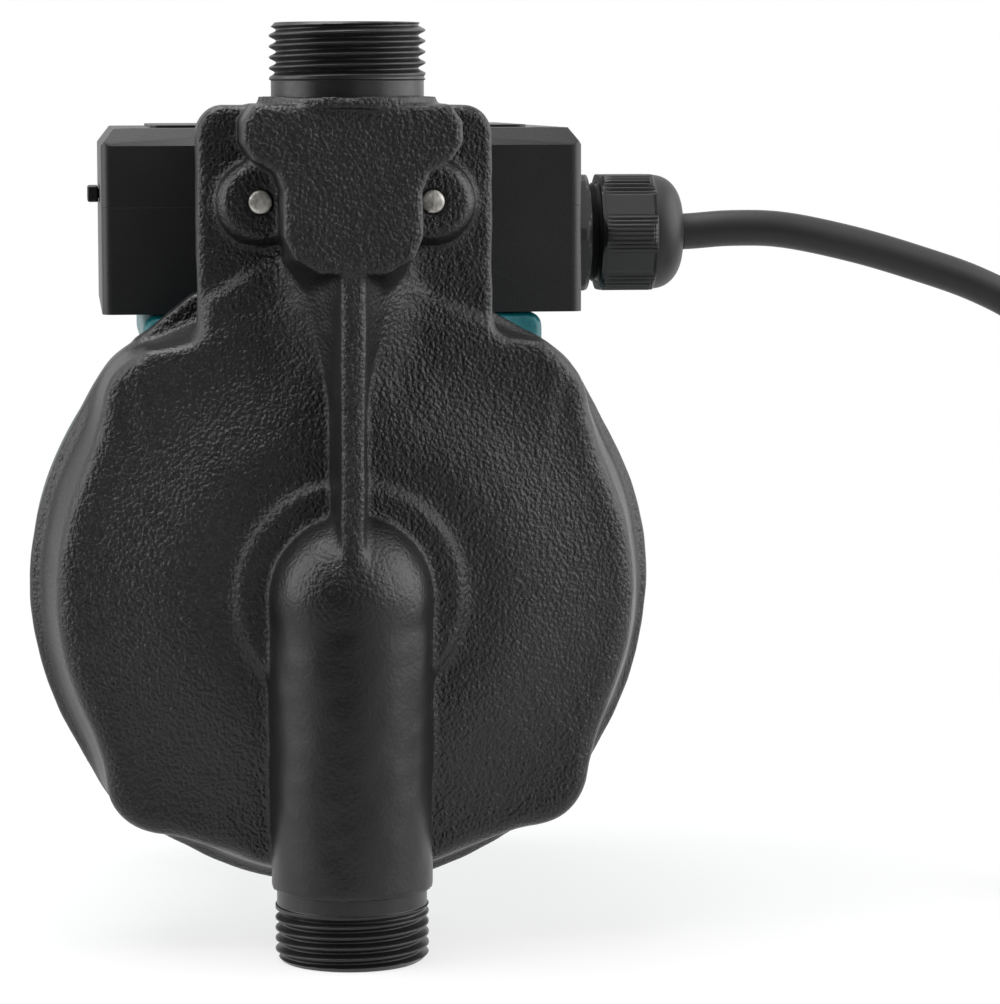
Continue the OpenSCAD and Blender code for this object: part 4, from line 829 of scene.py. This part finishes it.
def make_gland():
    """The gland: a hexagonal body with its thread, and a ribbed nut with a dome."""
    # body: hexagon against the wall, with a thread in the gap before the nut
    v, f, seg, n = hexagon(21.6, 0.8, 5.2, 0, 0, 1.5, 4.0)
    f.append([i * n for i in range(seg)])
    f.append([i * n + n - 1 for i in range(seg)])
    add_mesh("gland_hex", placed(v, along_x(WALL_X, GLAND_Y, GLAND_Z)), f, "gland", "pump", sharp=28,
             stands_for=("gland_body",))
    prof = [(5.4, -11.2), (8.7, -11.2)]
    for i in range(7):
        prof += [(9.0, -10.8 + i * 1.5), (8.3, -10.1 + i * 1.5)]
    prof += [(8.9, 0.0), (9.2, 5.0)]
    for i in range(3):
        prof += [(9.3, 5.4 + i * 1.0), (8.7, 5.9 + i * 1.0)]
    prof += [(9.2, 8.4), (5.4, 8.4), (5.4, -11.2)]
    v, f, n = turned(prof, 96)
    add_mesh("gland_thread", placed(v, along_x(WALL_X, GLAND_Y, GLAND_Z)), f, "gland", "pump", sharp=35)
    # nut: ribbed hexagon, then a dome with a rounded mouth
    hex_l, start = 10.4, WALL_X + 7.3
    v, f, seg, n = hexagon(21.6, 0.7, hex_l, 90, 0.26, 1.0, hex_l - 0.6)
    dome = [(10.55, 0.0), (10.75, 0.25), (10.75, 0.7)]
    dome += [(4.6 + 6.1 * math.cos(math.radians(a)), 0.7 + 5.2 * math.sin(math.radians(a)))
             for a in range(8, 90, 8)]
    dome += [(4.4, 6.0), (3.75, 5.9), (3.55, 5.3), (3.55, 2.6), (9.2, 1.6)]
    base = len(v)
    dv, df, _ = turned([(r, z + hex_l - 0.35) for r, z in dome], 120)
    v += dv
    f += [[base + k for k in q] for q in df]
    bore = len(v)
    bv, bf, bn = turned([(9.42, 0.0), (9.42, hex_l + 1.2)], 120)
    v += bv
    f += [[bore + k for k in q][::-1] for q in bf]
    for i in range(seg):
        outer, after = i * n, (i * n + n) % (seg * n)
        inner = bore + (i // 3) * bn
        if (i + 1) % 3 == 0:
            f.append((outer, after, bore + (((i + 1) // 3) % 120) * bn, inner))
        else:
            f.append((outer, after, inner))
    add_mesh("gland_cap", placed(v, along_x(start, GLAND_Y, GLAND_Z)), f, "gland", "pump", sharp=28,
             stands_for=("gland_nut",))


make_gland()


# Neck screws
def make_neck_screws():
    """The rounded end of each screw, level with its pad, on a plain shank with the head inside the box."""
    prof = [(0.0, 2.2), (1.2, 2.22), (1.7, 2.3), (1.92, 2.5), (NECK_SCREW_R, 2.8), (NECK_SCREW_R, 16.2),
            (3.2, 16.2), (3.6, 16.6), (3.6, 18.4), (3.3, 18.8), (0.0, 18.8)]
    v, f = closed_turn(prof, 48)
    for side in (-1, 1):
        at = along_y(side * NECK_SCREW_X, 0, NECK_SCREW_Z)
        add_mesh("neck_screw_%s" % ("a" if side < 0 else "b"), placed(v, at), f, "screw_end", "pump", sharp=45,
                 stands_for=("neck_screws",) if side < 0 else ())


make_neck_screws()


# The other nodes keep their shape
KEEP = {
    "inner": ["wear_ring", "bearing_plate", "rotor_can", "rotor_core", "flap_pin", "flap_magnet"],
    "seal": ["housing_gasket", "vent_seal", "lead_grommet", "box_gasket", "gland_seal"],
    "screw": ["flange_bolts", "box_screws", "cover_screws"],
    "core": ["stator_core"], "copper": ["stator_windings"], "brass": ["impeller_nut", "vent_plug"],
    "ceramic": ["thrust_washer", "shaft"],
    "carbon": ["front_bearing", "rear_bearing", "switch_body", "reed_switch"],
    "moulded": ["impeller", "impeller_shroud", "terminal_block", "capacitor", "flap_seat", "flow_flap"],
    "board": ["control_board"], "gland": ["gland_locknut"], "cord": ["lead_in"],
}
for key, names in KEEP.items():
    for n in names:
        me = nodes[n].data
        me.materials.clear()
        me.materials.append(M[key])


# Floor, world and lamps
def backdrop(level):
    """White to the camera and in reflections, plain light for the rest."""
    w = bpy.data.worlds.new("studio")
    w.use_nodes = True
    scene.world = w
    w.node_tree.nodes.clear()
    t = Nodes(w.node_tree)
    out = t.add("ShaderNodeOutputWorld")
    path = t.add("ShaderNodeLightPath")
    way = t.add("ShaderNodeSeparateXYZ")
    t.link(t.add("ShaderNodeTexCoord").outputs["Generated"], way.inputs[0])
    # the studio is dark behind the photographer, paler on that side's right, and white at the sides and above
    front = t.remap(way.outputs[1], -0.42, 0.30, 0.02, 0.70)
    top = t.remap(way.outputs[2], 0.35, 0.95, 0.0, 0.55)
    right = t.remap(way.outputs[0], 0.04, 0.30, 0.0, 0.70)
    room = t.add("ShaderNodeCombineColor")
    shade = t.math("ADD", t.math("ADD", front, right), top, clamp=True)
    for i in range(3):
        t.link(shade, room.inputs[i])
    see = t.add("ShaderNodeBackground")
    t.value(see.inputs["Color"], t.mix(path.outputs["Is Camera Ray"], room.outputs[0], rgb(1, 1, 1)))
    see.inputs["Strength"].default_value = 1.0
    light = t.add("ShaderNodeBackground")
    light.inputs["Color"].default_value = rgb(1, 1, 1)
    light.inputs["Strength"].default_value = level
    seen = t.math("ADD", path.outputs["Is Camera Ray"], path.outputs["Is Glossy Ray"])
    seen = t.math("ADD", seen, path.outputs["Is Transmission Ray"], clamp=True)
    mix = t.add("ShaderNodeMixShader")
    t.link(seen, mix.inputs[0])
    t.link(light.outputs[0], mix.inputs[1])
    t.link(see.outputs[0], mix.inputs[2])
    t.link(mix.outputs[0], out.inputs[0])


def floor():
    """A pale floor that keeps the shadow and shows white."""
    me = bpy.data.meshes.new("floor")
    s = 4.0
    me.from_pydata([(-s, -s, 0), (s, -s, 0), (s, s, 0), (-s, s, 0)], [], [(0, 1, 2, 3)])
    m = bpy.data.materials.new("floor_white")
    m.use_nodes = True
    m.node_tree.nodes.clear()
    t = Nodes(m.node_tree)
    out = t.add("ShaderNodeOutputMaterial")
    path = t.add("ShaderNodeLightPath")
    place = t.add("ShaderNodeSeparateXYZ")
    t.link(t.add("ShaderNodeNewGeometry").outputs["Position"], place.inputs[0])
    across = t.math("SUBTRACT", place.outputs[0], 0.05)
    away = t.math("SQRT", t.math("ADD", t.math("MULTIPLY", across, across),
                                 t.math("MULTIPLY", place.outputs[1], place.outputs[1])))
    flat = t.add("ShaderNodeEmission")
    flat.inputs["Color"].default_value = rgb(1, 1, 1)
    paper = t.add("ShaderNodeBsdfDiffuse")
    paper.inputs["Color"].default_value = rgb(0.9, 0.9, 0.9)
    glow = t.add("ShaderNodeMixShader")
    t.link(t.remap(away, 0.12, 0.32, 0.72, 1.0), glow.inputs[0])
    t.link(paper.outputs[0], glow.inputs[1])
    t.link(flat.outputs[0], glow.inputs[2])
    # in reflections the floor darkens towards the photographer
    dim = t.add("ShaderNodeEmission")
    nearer = t.remap(place.outputs[1], -0.42, -0.02, 0.07, 0.85)
    t.link(t.math("ADD", nearer, t.remap(place.outputs[0], 0.03, 0.20, 0.0, 0.30)), dim.inputs["Strength"])
    first = t.add("ShaderNodeMixShader")
    t.link(path.outputs["Is Glossy Ray"], first.inputs[0])
    t.link(paper.outputs[0], first.inputs[1])
    t.link(dim.outputs[0], first.inputs[2])
    seen = t.math("ADD", path.outputs["Is Camera Ray"], path.outputs["Is Transmission Ray"], clamp=True)
    mix = t.add("ShaderNodeMixShader")
    t.link(seen, mix.inputs[0])
    t.link(first.outputs[0], mix.inputs[1])
    t.link(glow.outputs[0], mix.inputs[2])
    t.link(mix.outputs[0], out.inputs[0])
    me.materials.append(m)
    o = bpy.data.objects.new("floor", me)
    scene.collection.objects.link(o)


def lamp(name, at, aim, size, power):
    """A rectangular lamp at that place, turned to its aim."""
    data = bpy.data.lights.new(name, "AREA")
    data.shape = "RECTANGLE"
    data.size, data.size_y = size
    data.energy = power
    o = bpy.data.objects.new(name, data)
    o.location = at
    o.rotation_euler = (Vector(aim) - Vector(at)).to_track_quat("-Z", "Y").to_euler()
    scene.collection.objects.link(o)


backdrop(0.50)
floor()
lamp("box_left", (-0.99, -0.03, 0.38), (0, 0, 0.08), (0.9, 1.2), 8.5)
lamp("box_right", (0.97, -0.10, 0.38), (0, 0, 0.08), (1.2, 1.2), 10.0)
lamp("box_top", (-0.22, 0.06, 1.03), (0, 0.02, 0.06), (0.9, 0.6), 8.0)

scene.view_settings.view_transform = "Standard"
